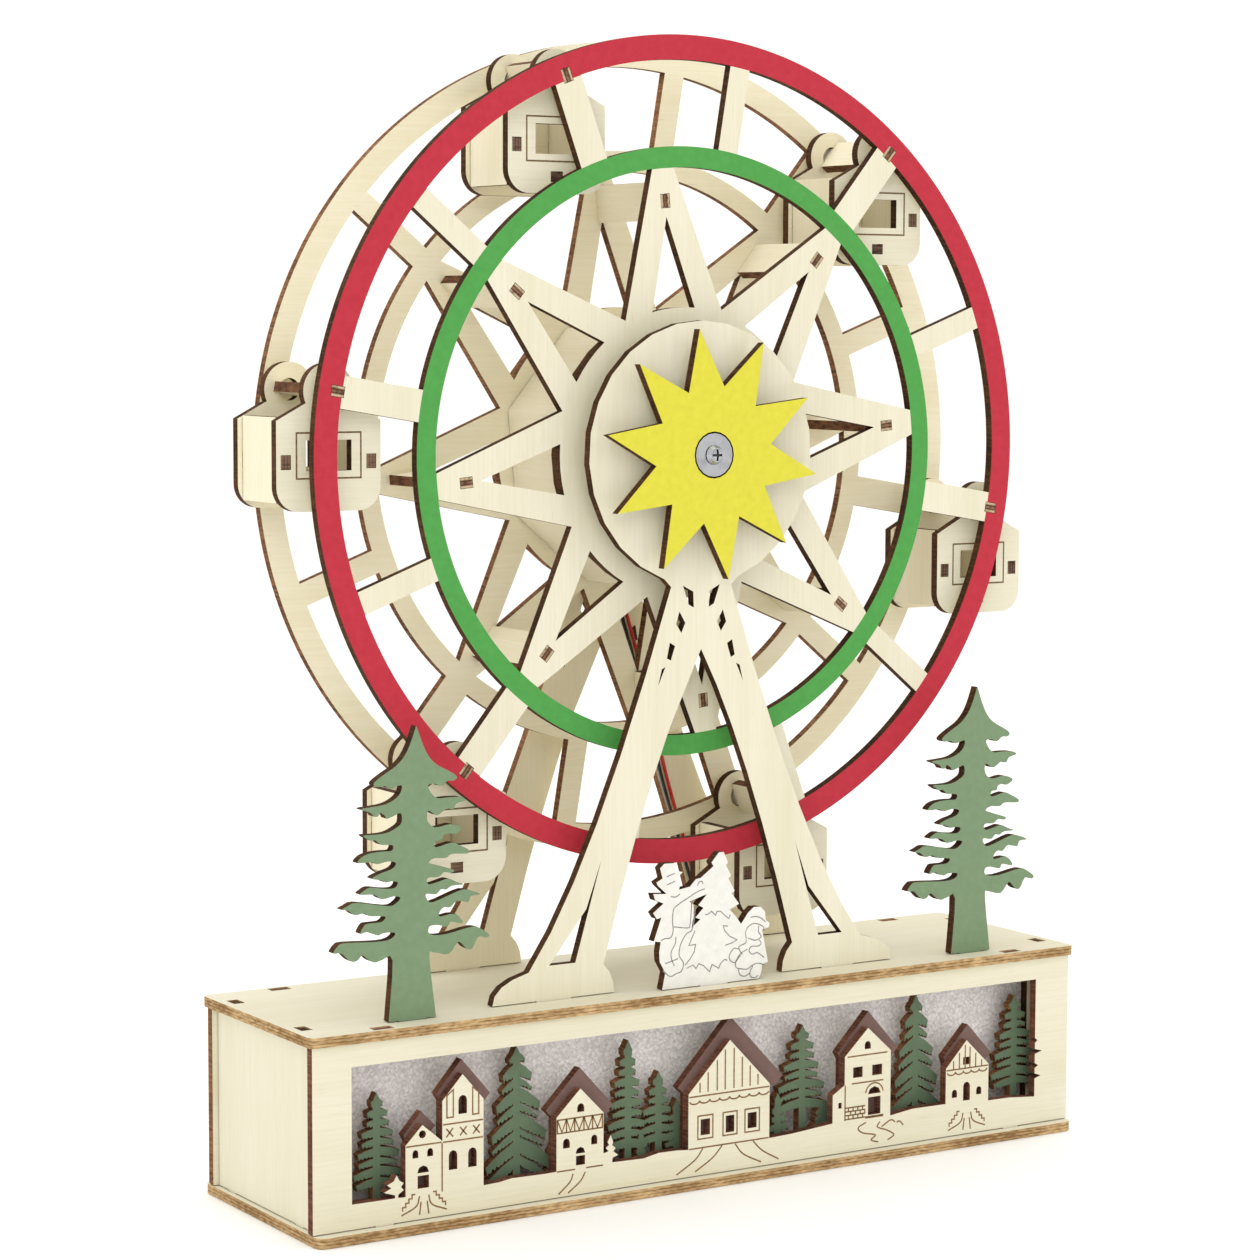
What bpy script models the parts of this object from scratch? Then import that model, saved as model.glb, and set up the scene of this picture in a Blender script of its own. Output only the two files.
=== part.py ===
"""Plywood ferris wheel with hanging cabins on a village-scene base, as laser-cut pieces.

Sizes are in millimetres and MM turns them into metres. X runs along the base, the
front faces -Y and Z is up. The origin is under the middle of the base. Angles on the
wheel are in degrees from +X towards +Z, as seen from the front.
"""
import math

import bmesh
import bpy
from mathutils import Matrix, Vector

MM = 0.001
WELD = 0.00001

# Sheet and fits
PLY = 3.0
FIT_GAP = 0.3
SLOT_CLEARANCE = 0.3

# Facets of round shapes
RIM_SIDES = 60
DISC_SIDES = 32
TURNED_SIDES = 20
HIDDEN_SIDES = 16
SCREW_SIDES = 14
SMALL_HOLE_SIDES = 8
SHARP_ANGLE = 30.0
FLAT_ANGLE = 0.5

# How far a cutter runs past the face that it opens, and the size of an axis's mark
CUTTER_OVERRUN = 1.0
AXIS_MARK_SIZE = 20.0

# Base box
BASE_HEIGHT = 60.0
TOP_LENGTH = 274.3
TOP_DEPTH = 71.4
TOP_CORNER = 2.0
WALL_SETBACK = 1.5
END_SETBACK = 3.0
WALL_OVERRUN = 1.85
BOTTOM_MARGIN = 3.55
BOTTOM_CORNER = 3.0
WALL_TAB_WIDTH = 6.0
WALL_TAB_INSET = 24.0
END_TAB_WIDTH = 5.0
END_TAB_SPREAD = 44.0

# Scene window in the front wall
WINDOW_LEFT_MARGIN = 12.4
WINDOW_RIGHT_MARGIN = 13.2
WINDOW_TOP_MARGIN = 9.9
DRAWN_WINDOW_LEFT = -123.6
DRAWN_WINDOW_RIGHT = 122.8
DRAWN_WINDOW_TOP = 50.1
SCENE_STRIP_TOP = 9.0
SCENE_END_GAP = 0.6
ROOF_END_DEPTH = 2.4
SKY_THICKNESS = 1.5
SKY_DISTANCE = 3.0
SKY_FRAME_WIDTH = 3.4
NOTCH_HEIGHT = 1.6

# Supports
CABIN_GROUND_CLEARANCE = 7.5
HEAD_RADIUS = 39.6
NECK_HALF_WIDTH = 10.8
NECK_CORNER = 2.4
CROTCH_DROP = 58.8
LEG_OUTER_BEND = (37.7, 38.0)
LEG_INNER_BEND = (17.0, 71.0)
FOOT_INNER = 30.4
FOOT_OUTER = 72.3
ANKLE_HEIGHT = 8.8
ANKLE_INNER = 34.2
ANKLE_OUTER = 60.0
TOE_BEND_SHARE = 0.7
HEEL_BEND_SHARE = 0.6
FOOT_TAB_WIDTH = 12.0
FRONT_SUPPORT_Y = -24.5
FRONT_RUNNING_GAP = 6.7
REAR_RUNNING_GAP = 2.4

# Wheel
PLATE_SPACING = 33.6
RIM_OUTER = 124.7
RIM_WIDTH = 7.4
RING_OUTER = 91.7
RING_WIDTH = 6.2
WHEEL_PHASE = 50.5
CABIN_COUNT = 6
CABIN_SPOKE_WIDTH = 9.4
PLAIN_SPOKE_WIDTH = 7.0
STAR_POINTS = 8
STAR_NOTCH_RADIUS = 44.9
STAR_TIP_HALF_WIDTH = 3.8
TIP_WINDOW_APEX_RADIUS = 71.0
TIP_WINDOW_FOOT_RADIUS = 43.8
TIP_WINDOW_HALF_WIDTH = 7.6
PLANK_WIDTH = 11.4
PLANK_TAB = 4.0
PLANK_SWING_GAP = 1.36
BAR_WIDTH = 10.0
BAR_TAB = 4.0
BAR_RADIUS = 118.6
DISC_RADIUS = 43.0
MOTOR_HOLE_RADIUS = 16.0
DRUM_SIDES = 8
DRUM_APOTHEM = 39.0

# Axle, washer, screw and hub
AXLE_RADIUS = 4.7
AXLE_RUNNING_GAP = 0.3
WASHER_RADIUS = 6.5
WASHER_THICKNESS = 1.0
SCREW_HEAD_RADIUS = 3.0
SCREW_HEAD_HEIGHT = 1.8
SCREW_SHANK_RADIUS = 1.2
SCREW_LENGTH = 9.0
SCREW_RECESS_LENGTH = 3.4
SCREW_RECESS_WIDTH = 0.7
SCREW_RECESS_DEPTH = 0.9
HUB_BLOCK_RADIUS = 10.0
HUB_BLOCK_LENGTH = 12.0

# Cabins
EAR_RADIUS = 8.0
BAR_HOLE_CLEARANCE = 0.4
CABIN_HALF_WIDTH = 16.6
SHOULDER_DROP = 8.3
NECK_DROP = 3.4
CABIN_DROP = 34.2
CABIN_CORNER = 7.0
CABIN_DEPTH = 28.0
CABIN_WALL_INSET = 1.5
CABIN_WALL_TOP = 7.4
CABIN_WALL_HANG = 2.4
CABIN_TAB = 4.0
TAB_RELIEF = 0.1
CABIN_TAB_DROP = 20.1
CABIN_FLOOR_DROP = 27.8
CABIN_WINDOW_WIDTH = 14.5
CABIN_WINDOW_HEIGHT = 8.8
CABIN_WINDOW_DROP = 18.3

# Star ornament
STAR_TIPS = 10
STAR_TIP_RADIUS = 37.7
STAR_VALLEY_RADIUS = 20.6
STAR_PHASE = 98.2
SPACER_RADIUS = 16.0
WASHER_CLEARANCE = 0.5

# Trees and snowman in front
TREE_INSET = 36.35
TREE_Y = -28.2
TREE_HEIGHT = 85.4
DRAWN_TREE_HEIGHT = 85.4
TREE_TIP_BEND = (4.6, 74.2)
TREE_TRUNK_HALF_WIDTH = 5.2
TREE_FOOT_HALF_WIDTH = 7.7
TREE_TAB_WIDTH = 9.0
TREE_TIERS = (
    (14.4, 70.1), (17.0, 62.8), (16.2, 55.1), (18.5, 48.5), (13.5, 42.8),
    (16.4, 38.4), (22.0, 33.6), (16.2, 28.2), (25.5, 22.6),
)
# A garden fir's branch: share of its reach past the trunk, then height as a share of the
# distance to the branch above or below
TREE_BRANCH_SHARES = (
    (0.02, 0.42), (0.3, 0.2), (0.74, 0.24), (0.93, 0.11), (1.0, -0.16), (0.86, -0.2), (0.74, -0.46),
    (0.6, -0.26), (0.42, -0.5), (0.16, -0.4),
)
TREE_LAST_PITCH = 6.4
SNOWMAN_Y = -29.5
SNOWMAN_TAB_WIDTH = 10.0
SNOWMAN_TAB_X = 2.0

# Motor on the rear support
MOTOR_RADIUS = 11.5
MOTOR_LENGTH = 24.0
MOTOR_CHAMFER = 1.0
MOTOR_FLANGE_RADIUS = 15.3
MOTOR_FLANGE_THICKNESS = 1.6
MOTOR_BOSS_RADIUS = 4.0
MOTOR_BOSS_LENGTH = 2.0
MOTOR_SCREW_RING_RADIUS = 13.3
MOTOR_SCREW_RADIUS = 0.9
MOTOR_SCREW_HEAD_RADIUS = 1.5
MOTOR_SCREW_HEAD_HEIGHT = 0.9
SHAFT_RADIUS = 2.0
SHAFT_REACH = 10.0

# Battery and switch inside the base
CELL_RADIUS = 7.0
CELL_LENGTH = 49.0
CELL_BUTTON_RADIUS = 2.6
CELL_BUTTON_LENGTH = 1.2
CELL_COUNT = 2
HOLDER_WALL = 1.6
HOLDER_HEIGHT = 12.0
HOLDER_X = -20.0
HOLDER_Y = 4.0
HATCH_MARGIN = 9.0
FINGER_HOLE_RADIUS = 3.2
SWITCH_X = 72.0
SWITCH_Z = 30.0
SWITCH_LENGTH = 14.0
SWITCH_HEIGHT = 7.0
SWITCH_DEPTH = 6.0
SWITCH_TRAVEL = 3.0
KNOB_WIDTH = 3.6
KNOB_HEIGHT = 3.2
KNOB_STAND_OUT = 2.4
KNOB_SEAT = 2.0

# Wires
WIRE_RADIUS = 0.55
WIRE_STEP = 6.5
WIRE_END_SHARE = 0.6
CURVE_STEPS = 12
WIRE_SPACING = 1.9
WIRE_HOLE_RADIUS = 2.4
WIRE_HOLE_X = 38.0
WIRE_HOLE_Y = 25.5

# Colours, each as red, green, blue, roughness and metallic
BIRCH = (0.88, 0.80, 0.60, 0.62, 0.0)
PAINTED_YELLOW = (0.80, 0.75, 0.07, 0.6, 0.0)
PAINTED_WHITE = (0.88, 0.88, 0.87, 0.65, 0.0)
SAGE_GREEN = (0.21, 0.36, 0.21, 0.65, 0.0)
FIR_GREEN = (0.08, 0.21, 0.12, 0.7, 0.0)
ROOF_BROWN = (0.16, 0.08, 0.08, 0.7, 0.0)
SKY_GREY = (0.39, 0.35, 0.39, 0.5, 0.2)
STEEL = (0.70, 0.70, 0.70, 0.3, 1.0)
BLACK_PLASTIC = (0.03, 0.03, 0.03, 0.5, 0.0)
CELL_GREY = (0.35, 0.36, 0.38, 0.4, 0.6)
WIRE_RED = (0.55, 0.02, 0.02, 0.45, 0.0)
WIRE_BLACK = (0.02, 0.02, 0.02, 0.45, 0.0)

# Places worked out from the sizes above
TOP_Z = BASE_HEIGHT
HUB_HEIGHT = BAR_RADIUS + CABIN_DROP + CABIN_GROUND_CLEARANCE
HUB_Z = BASE_HEIGHT + HUB_HEIGHT
WALL_BOTTOM = PLY + FIT_GAP
WALL_TOP = BASE_HEIGHT - PLY - FIT_GAP
FRONT_WALL_Y = -(TOP_DEPTH / 2 - WALL_SETBACK)
BACK_WALL_Y = -FRONT_WALL_Y - PLY
END_WALL_X = TOP_LENGTH / 2 - END_SETBACK - PLY
WALL_LENGTH = 2 * (END_WALL_X + PLY + WALL_OVERRUN)
BOTTOM_DEPTH = 2 * (BOTTOM_MARGIN - FRONT_WALL_Y)
TREE_X = TOP_LENGTH / 2 - TREE_INSET
ROOF_LAYER_Y = FRONT_WALL_Y + PLY + FIT_GAP
TREE_LAYER_Y = ROOF_LAYER_Y + PLY + FIT_GAP
SKY_SPACER_Y = TREE_LAYER_Y + PLY + FIT_GAP
SKY_Y = SKY_SPACER_Y + SKY_DISTANCE + FIT_GAP
LAYER_HALF_LENGTH = END_WALL_X - SCENE_END_GAP
WINDOW_TOP = BASE_HEIGHT - WINDOW_TOP_MARGIN
WINDOW_LEFT = WINDOW_LEFT_MARGIN - WALL_LENGTH / 2
WINDOW_RIGHT = WALL_LENGTH / 2 - WINDOW_RIGHT_MARGIN
SCENE_SCALE = WINDOW_TOP / DRAWN_WINDOW_TOP
SCENE_STRETCH = (WINDOW_RIGHT - WINDOW_LEFT) / (DRAWN_WINDOW_RIGHT - DRAWN_WINDOW_LEFT)
SPACER_Y = FRONT_SUPPORT_Y - FIT_GAP - PLY
STAR_Y = SPACER_Y - FIT_GAP - PLY
FRONT_PLATE_Y = FRONT_SUPPORT_Y + PLY + FRONT_RUNNING_GAP
FRONT_DISC_Y = FRONT_PLATE_Y + PLY + FIT_GAP
REAR_PLATE_Y = FRONT_PLATE_Y + PLY + PLATE_SPACING
REAR_DISC_Y = REAR_PLATE_Y + PLY + FIT_GAP
REAR_SUPPORT_Y = REAR_DISC_Y + PLY + REAR_RUNNING_GAP
CABIN_Y = FRONT_PLATE_Y + PLY + (PLATE_SPACING - CABIN_DEPTH) / 2
RIM_INNER = RIM_OUTER - RIM_WIDTH
RING_INNER = RING_OUTER - RING_WIDTH
BAR_HALF_DIAGONAL = math.hypot(BAR_WIDTH / 2, PLY / 2)
BAR_HOLE_RADIUS = BAR_HALF_DIAGONAL + BAR_HOLE_CLEARANCE
CABIN_REACH = CABIN_CORNER + math.hypot(CABIN_HALF_WIDTH - CABIN_CORNER, CABIN_DROP - CABIN_CORNER)
PLANK_OUTER = BAR_RADIUS - CABIN_REACH - PLANK_SWING_GAP
PLANK_RADIUS = PLANK_OUTER - PLANK_WIDTH / 2
AXLE_BORE = AXLE_RADIUS + AXLE_RUNNING_GAP
MOTOR_FRONT_Y = REAR_SUPPORT_Y - FIT_GAP - MOTOR_LENGTH
HOLDER_LENGTH = CELL_LENGTH + 2 * CELL_BUTTON_LENGTH + 2 * HOLDER_WALL
HOLDER_WIDTH = CELL_COUNT * (2 * CELL_RADIUS + 2 * FIT_GAP) + 2 * HOLDER_WALL
HATCH_LENGTH = HOLDER_LENGTH + 2 * HATCH_MARGIN
HATCH_WIDTH = HOLDER_WIDTH + HATCH_MARGIN
WIRE_Y = REAR_SUPPORT_Y - FIT_GAP - WIRE_RADIUS

# Village artwork, drawn for the window above: each house has its wall foot heights, its
# gable outline from left to right, and its roof board's left end, ridge and right end.
GROUND = {
    "start": ((-123.6, 10.6), (-109.8, 10.5)),
    "A": ((-108.8, 10.5), (-106.4, 10.4)),
    "C": ((-80.8, 10.4), (-75.5, 10.6), (-71.4, 11.2), (-60.0, 11.0), (-56.2, 11.1)),
    "D": ((-37.0, 11.4), (-26.0, 11.1), (-20.5, 12.1), (-14.0, 12.0), (-10.0, 11.6)),
    "E": ((19.5, 11.5), (28.0, 11.8), (43.2, 13.0)),
    "F": ((65.3, 12.8), (74.0, 13.9), (87.0, 13.8)),
    "end": ((104.0, 12.9), (112.5, 12.8), (122.8, 11.9)),
}
SMALL_FIR_LEFT = ((-109.8, 11.4), (-113.4, 12.6), (-111.0, 13.6), (-112.4, 14.6), (-110.2, 15.5),
                  (-109.3, 17.1), (-108.4, 15.5), (-107.0, 14.6), (-107.9, 13.6), (-107.0, 12.6),
                  (-108.8, 11.4))
SMALL_FIR_RIGHT = ((-40.0, 14.5), (-38.2, 14.9), (-39.2, 16.0), (-38.0, 16.8), (-38.6, 17.6),
                   (-37.5, 19.7), (-36.6, 17.4), (-37.0, 16.6), (-35.8, 15.6), (-36.6, 14.7),
                   (-34.9, 13.4), (-36.8, 12.8))
GABLES = {
    "A": ((-106.4, 25.3), (-100.9, 30.7), (-94.4, 25.2)),
    "B": ((-94.4, 36.9), (-87.7, 44.0), (-80.8, 36.0)),
    "C": ((-56.2, 27.2), (-48.0, 35.0), (-40.0, 26.8)),
    "D": ((-10.0, 28.5), (4.9, 43.6), (19.5, 28.5)),
    "E": ((43.2, 21.8), (47.7, 24.5), (47.7, 33.4), (56.5, 41.6), (65.3, 33.6)),
    "F": ((87.0, 25.0), (95.1, 33.4), (104.0, 24.8)),
}
ROOFS = (
    ((-105.3, 27.5), (-99.4, 33.8), (-94.9, 29.2), -104.0, -95.8),
    ((-94.5, 38.2), (-86.2, 47.6), (-76.7, 36.6), -93.0, -81.8),
    ((-57.9, 28.8), (-46.2, 40.4), (-34.7, 28.0), -55.2, -41.0),
    ((-11.7, 30.2), (7.2, 50.0), (26.5, 29.6), -9.0, 18.5),
    ((47.3, 34.0), (58.9, 46.0), (70.4, 33.4), 48.7, 64.3),
    ((88.6, 28.0), (98.0, 37.6), (107.4, 27.6), 89.6, 103.0),
)
# Window trees: trunk x, top, lowest branch, left reach, right reach, branch pitch, droop
SLENDER_DROOP_SHARE = 0.18
BROAD_DROOP_SHARE = 0.46
SCENE_TREES = (
    (-112.2, 40.2, 17.0, 8.2, 8.8, 2.9, SLENDER_DROOP_SHARE),
    (-66.4, 48.3, 16.5, 12.0, 12.5, 4.5, BROAD_DROOP_SHARE),
    (-27.2, 46.0, 16.0, 7.0, 5.4, 3.4, SLENDER_DROOP_SHARE),
    (-16.2, 35.6, 15.0, 4.6, 8.4, 2.9, SLENDER_DROOP_SHARE),
    (27.2, 23.3, 14.5, 3.4, 3.6, 2.2, SLENDER_DROOP_SHARE),
    (35.7, 43.6, 25.0, 8.0, 8.4, 3.1, SLENDER_DROOP_SHARE),
    (44.4, 19.1, 14.5, 3.8, 3.8, 1.6, SLENDER_DROOP_SHARE),
    (79.5, 48.6, 17.0, 10.4, 10.0, 4.5, BROAD_DROOP_SHARE),
    (117.6, 44.4, 17.0, 10.0, 12.5, 3.0, SLENDER_DROOP_SHARE),
)
SCENE_TRUNK_HALF_WIDTH = 1.4
# Their branches: how the reach grows downwards, the shorter ones' share of it, the root's
# rise and thickness in pitches, and how far out the root lies
BRANCH_GROWTH_POWER = 0.7
SHORT_BRANCH_SHARE = 0.84
BRANCH_RISE_SHARE = 0.45
BRANCH_RISE_LIMIT_SHARE = 1.4
BRANCH_THICKNESS_SHARE = 0.52
BRANCH_ROOT_SHARE = 0.3
# Branch-shaped notches in the window's right jamb: how far in, and at what height
JAMB_NOTCHES = ((2.5, 18.6), (1.4, 22.0), (2.9, 26.6), (1.0, 30.2))
ARCHED_OPENINGS = (
    (-103.2, 21.3, 1.9, 2.4), (-98.4, 21.3, 1.9, 2.4), (-100.7, 16.8, 3.7, 2.1),
    (-87.7, 32.4, 2.8, 5.5), (-90.9, 16.4, 2.8, 5.7), (-84.5, 16.4, 2.8, 5.7),
    (-47.9, 28.0, 2.4, 2.6), (-52.8, 17.7, 2.3, 2.9), (-43.2, 17.7, 2.1, 2.9), (-48.0, 15.6, 3.1, 1.9),
    (56.4, 35.0, 2.3, 2.5), (59.1, 20.6, 5.0, 2.3),
    (90.5, 15.4, 2.0, 2.6), (100.2, 15.4, 2.0, 2.6), (95.3, 14.0, 2.7, 6.0),
)
SQUARE_OPENINGS = (
    (-102.5, 12.3, -98.8, 16.0), (-49.5, 12.1, -46.4, 14.9),
    (-5.6, 15.5, -2.2, 20.4), (3.5, 15.2, 6.6, 20.4), (11.5, 15.5, 14.8, 20.3),
    (45.4, 17.4, 46.6, 19.2), (50.9, 26.4, 54.5, 29.7), (58.2, 26.4, 62.0, 29.7), (56.7, 14.0, 61.5, 19.6),
    (93.8, 25.6, 96.8, 28.0),
)
ROUND_OPENING = (-100.9, 28.0, 1.2)

# Snowman and child with a tree, heights above the base's top
SNOWMAN_OUTLINE = (
    (-16.6, 0.0), (-15.5, 5.1), (-17.5, 8.6), (-17.7, 11.4), (-17.2, 14.6), (-19.6, 15.0), (-17.0, 22.0),
    (-18.6, 21.7), (-19.9, 23.6), (-16.2, 26.2), (-19.2, 27.4), (-19.9, 29.4), (-15.2, 29.0),
    (-18.2, 31.7), (-18.8, 32.7), (-16.6, 33.8), (-17.5, 36.9), (-16.0, 38.2), (-12.3, 38.1), (-11.5, 35.7),
    (-9.4, 35.1), (-11.2, 33.8), (-10.3, 31.7), (-10.7, 29.9), (-6.8, 30.5), (-4.7, 32.6), (-3.0, 32.8),
    (1.6, 36.0), (0.9, 37.2), (3.6, 40.1), (5.3, 40.0), (6.9, 36.6), (6.1, 36.0), (8.0, 32.6), (7.0, 31.8),
    (9.4, 27.8), (8.2, 27.2), (11.0, 23.7), (7.6, 22.2), (9.9, 19.9), (11.8, 17.4), (14.3, 20.6),
    (16.4, 22.2), (18.8, 22.1), (20.6, 20.4), (20.9, 17.7), (22.3, 16.8), (22.0, 15.5), (19.5, 15.0),
    (20.4, 11.0), (21.8, 4.8), (19.6, 4.3), (19.4, 2.0), (18.4, 0.0),
)
SNOWMAN_GAP = (
    (-7.0, 26.0), (-0.6, 27.7), (-3.8, 24.6), (-1.9, 23.6), (-4.8, 20.9), (-3.0, 20.2), (-6.2, 17.9),
    (-5.4, 21.5), (-5.5, 24.7),
)
# Cut-outs of the support's neck, mirrored: x, and height measured from the hub
NECK_CUTS = (
    ((6.6, -39.5), (2.9, -41.4), (2.7, -46.2), (4.5, -45.3)),
    ((7.8, -47.2), (5.7, -50.7), (7.1, -53.7), (9.0, -50.9)),
    ((9.3, -57.5), (11.2, -56.4), (12.2, -61.1), (10.8, -61.8)),
    ((12.7, -63.6), (14.0, -64.3), (15.3, -69.3)),
)
# Slit in each foot: x, and height above the base's top
FOOT_SLIT = ((35.0, 40.3), (44.0, 10.2), (53.0, 10.2), (40.2, 26.0))
# Wire route: x and height down the rear support's front face, then y and height through
# the hole in the top panel, then x, y and height inside the base
WIRE_ROUTE = (
    (0.4, 200.0), (1.4, 190.0), (3.0, 180.0), (6.7, 167.3), (11.2, 153.0), (16.9, 133.0), (21.8, 115.0),
    (27.0, 99.0), (32.4, 83.0), (36.4, 73.0),
)
WIRE_PLUNGE = ((27.6, 64.5), (25.5, 56.0), (25.0, 48.0))
BLACK_WIRE_INSIDE = ((33.0, 22.0, 39.0), (27.0, 16.0, 27.0), (20.0, 11.0, 16.0), (13.0, 8.4, 11.0))
RED_WIRE_INSIDE = ((44.0, 23.5, 41.0), (53.0, 20.5, 37.0), (63.0, 17.5, 33.5), (69.5, 18.6, 32.0))
SWITCH_LEAD_INSIDE = ((14.0, 0.0, 10.5), (26.0, 1.5, 11.5), (42.0, 5.0, 14.0), (58.0, 10.5, 18.5),
                      (69.0, 15.5, 23.5))
WIRE_POST_SPREAD = 4.0
WIRE_POST_HEIGHT = 10.5
SWITCH_POST_SPREAD = 1.6


def arc(centre_x, centre_z, radius, start, end, steps):
    """Points on a circle from one angle to another, in degrees, both ends included."""
    points = []
    for index in range(steps + 1):
        angle = math.radians(start + (end - start) * index / steps)
        points.append((centre_x + radius * math.cos(angle), centre_z + radius * math.sin(angle)))
    return points


def circle(centre_x, centre_z, radius, sides):
    return arc(centre_x, centre_z, radius, 0, 360, sides)[:-1]


def rectangle(left, bottom, right, top):
    return [(left, bottom), (right, bottom), (right, top), (left, top)]


def rounded_rectangle(width, depth, radius, steps=3):
    """A rectangle about the origin with round corners."""
    x = width / 2 - radius
    z = depth / 2 - radius
    return (arc(x, z, radius, 0, 90, steps) + arc(-x, z, radius, 90, 180, steps)
            + arc(-x, -z, radius, 180, 270, steps) + arc(x, -z, radius, 270, 360, steps))


def turned(points, angle):
    """Points turned about the origin by an angle in degrees."""
    cosine = math.cos(math.radians(angle))
    sine = math.sin(math.radians(angle))
    return [(x * cosine - z * sine, x * sine + z * cosine) for x, z in points]


def moved(points, x, z):
    return [(px + x, pz + z) for px, pz in points]


def mirrored(points):
    """Points mirrored in the vertical axis, in the opposite order."""
    return [(-x, z) for x, z in reversed(points)]


def bend(start, control, end, steps):
    """A quadratic curve through a control point, both ends included."""
    points = []
    for index in range(steps + 1):
        t = index / steps
        weights = ((1 - t) ** 2, 2 * t * (1 - t), t ** 2)
        corners = (start, control, end)
        points.append(tuple(sum(w * p[axis] for w, p in zip(weights, corners)) for axis in (0, 1)))
    return points


def slot(centre_x, centre_z, width, height, angle=0.0):
    """A slot that takes a tab of this width and height with the usual clearance."""
    half_width = width / 2 + SLOT_CLEARANCE
    half_height = height / 2 + SLOT_CLEARANCE
    box = rectangle(-half_width, -half_height, half_width, half_height)
    return moved(turned(box, angle), centre_x, centre_z)


def polar(radius, angle):
    return radius * math.cos(math.radians(angle)), radius * math.sin(math.radians(angle))


UPRIGHT = Matrix.Rotation(math.radians(90), 4, "X")
FLAT = Matrix.Identity(4)
SIDEWAYS = Matrix(((0, 0, 1, 0), (1, 0, 0, 0), (0, 1, 0, 0), (0, 0, 0, 1)))


def sheet_mesh(loops, thickness, stance=UPRIGHT):
    """A flat piece as a mesh: its front face lies on the local plane y = 0 when upright.

    The stance turns the drawn plane: UPRIGHT draws in X and Z, FLAT in X and Y,
    SIDEWAYS in Y and Z. A flat piece lies above z = 0 and a sideways one beyond x = 0.
    """
    curve = bpy.data.curves.new("sheet_outline", "CURVE")
    curve.dimensions = "2D"
    curve.fill_mode = "BOTH"
    curve.extrude = thickness / 2 * MM
    for loop in loops:
        spline = curve.splines.new("POLY")
        spline.points.add(len(loop) - 1)
        for point, (x, z) in zip(spline.points, loop):
            point.co = (x * MM, z * MM, 0, 1)
        spline.use_cyclic_u = True
    guide = bpy.data.objects.new("sheet_outline", curve)
    bpy.context.scene.collection.objects.link(guide)
    bpy.context.view_layer.update()
    graph = bpy.context.evaluated_depsgraph_get()
    mesh = bpy.data.meshes.new_from_object(guide.evaluated_get(graph))
    bpy.data.objects.remove(guide)
    bpy.data.curves.remove(curve)
    shape = bmesh.new()
    shape.from_mesh(mesh)
    bpy.data.meshes.remove(mesh)
    bmesh.ops.remove_doubles(shape, verts=shape.verts, dist=WELD)
    depth = -thickness / 2 if stance is UPRIGHT else thickness / 2
    bmesh.ops.translate(shape, verts=shape.verts, vec=(0, 0, depth * MM))
    bmesh.ops.transform(shape, matrix=stance, verts=shape.verts)
    bmesh.ops.recalc_face_normals(shape, faces=shape.faces)
    return shape


def rod_mesh(profile, sides, axis="Y"):
    """A turned piece from (radius, distance along its axis) pairs, closed at both ends."""
    shape = bmesh.new()
    verts = [shape.verts.new((radius * MM, 0, along * MM)) for radius, along in profile]
    edges = [shape.edges.new(pair) for pair in zip(verts, verts[1:])]
    bmesh.ops.spin(shape, geom=verts + edges, axis=(0, 0, 1), cent=(0, 0, 0),
                   angle=math.tau, steps=sides, use_duplicate=False)
    bmesh.ops.remove_doubles(shape, verts=shape.verts, dist=WELD)
    if axis == "Y":
        bmesh.ops.transform(shape, matrix=Matrix.Rotation(math.radians(-90), 4, "X"), verts=shape.verts)
    if axis == "X":
        bmesh.ops.transform(shape, matrix=Matrix.Rotation(math.radians(90), 4, "Y"), verts=shape.verts)
    bmesh.ops.recalc_face_normals(shape, faces=shape.faces)
    return shape


def box_mesh(low, high):
    """A box between two corners."""
    shape = bmesh.new()
    bmesh.ops.create_cube(shape, size=1.0)
    size = [(b - a) * MM for a, b in zip(low, high)]
    centre = [(a + b) / 2 * MM for a, b in zip(low, high)]
    bmesh.ops.scale(shape, vec=size, verts=shape.verts)
    bmesh.ops.translate(shape, vec=centre, verts=shape.verts)
    return shape


def scratch_object(shape, name):
    """A mesh object outside the parts, with its flat faces whole, for a Boolean to use."""
    flat = math.radians(FLAT_ANGLE)
    bmesh.ops.dissolve_limit(shape, angle_limit=flat, verts=shape.verts, edges=shape.edges)
    mesh = bpy.data.meshes.new(name)
    shape.to_mesh(mesh)
    shape.free()
    item = bpy.data.objects.new(name, mesh)
    bpy.context.scene.collection.objects.link(item)
    return item


def united(shapes):
    """Several overlapping solids made into one by Boolean unions."""
    items = [scratch_object(shape, "union_piece") for shape in shapes]
    for item in items[1:]:
        modifier = items[0].modifiers.new("union", "BOOLEAN")
        modifier.operation = "UNION"
        modifier.object = item
    bpy.context.view_layer.update()
    graph = bpy.context.evaluated_depsgraph_get()
    mesh = bpy.data.meshes.new_from_object(items[0].evaluated_get(graph))
    whole = bmesh.new()
    whole.from_mesh(mesh)
    bpy.data.meshes.remove(mesh)
    for item in items:
        bpy.data.objects.remove(item)
    return whole


def shifted(shape, x=0.0, y=0.0, z=0.0):
    bmesh.ops.translate(shape, vec=(x * MM, y * MM, z * MM), verts=shape.verts)
    return shape


def turned_about_y(shape, angle):
    """A solid turned in the wheel's plane, in degrees from +X towards +Z."""
    bmesh.ops.transform(shape, matrix=Matrix.Rotation(math.radians(-angle), 4, "Y"), verts=shape.verts)
    return shape


def new_material(name, look):
    red, green, blue, roughness, metallic = look
    material = bpy.data.materials.new(name)
    material.use_nodes = True
    shader = material.node_tree.nodes["Principled BSDF"]
    shader.inputs["Base Color"].default_value = (red, green, blue, 1.0)
    shader.inputs["Roughness"].default_value = roughness
    shader.inputs["Metallic"].default_value = metallic
    material.diffuse_color = (red, green, blue, 1.0)
    return material


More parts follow.
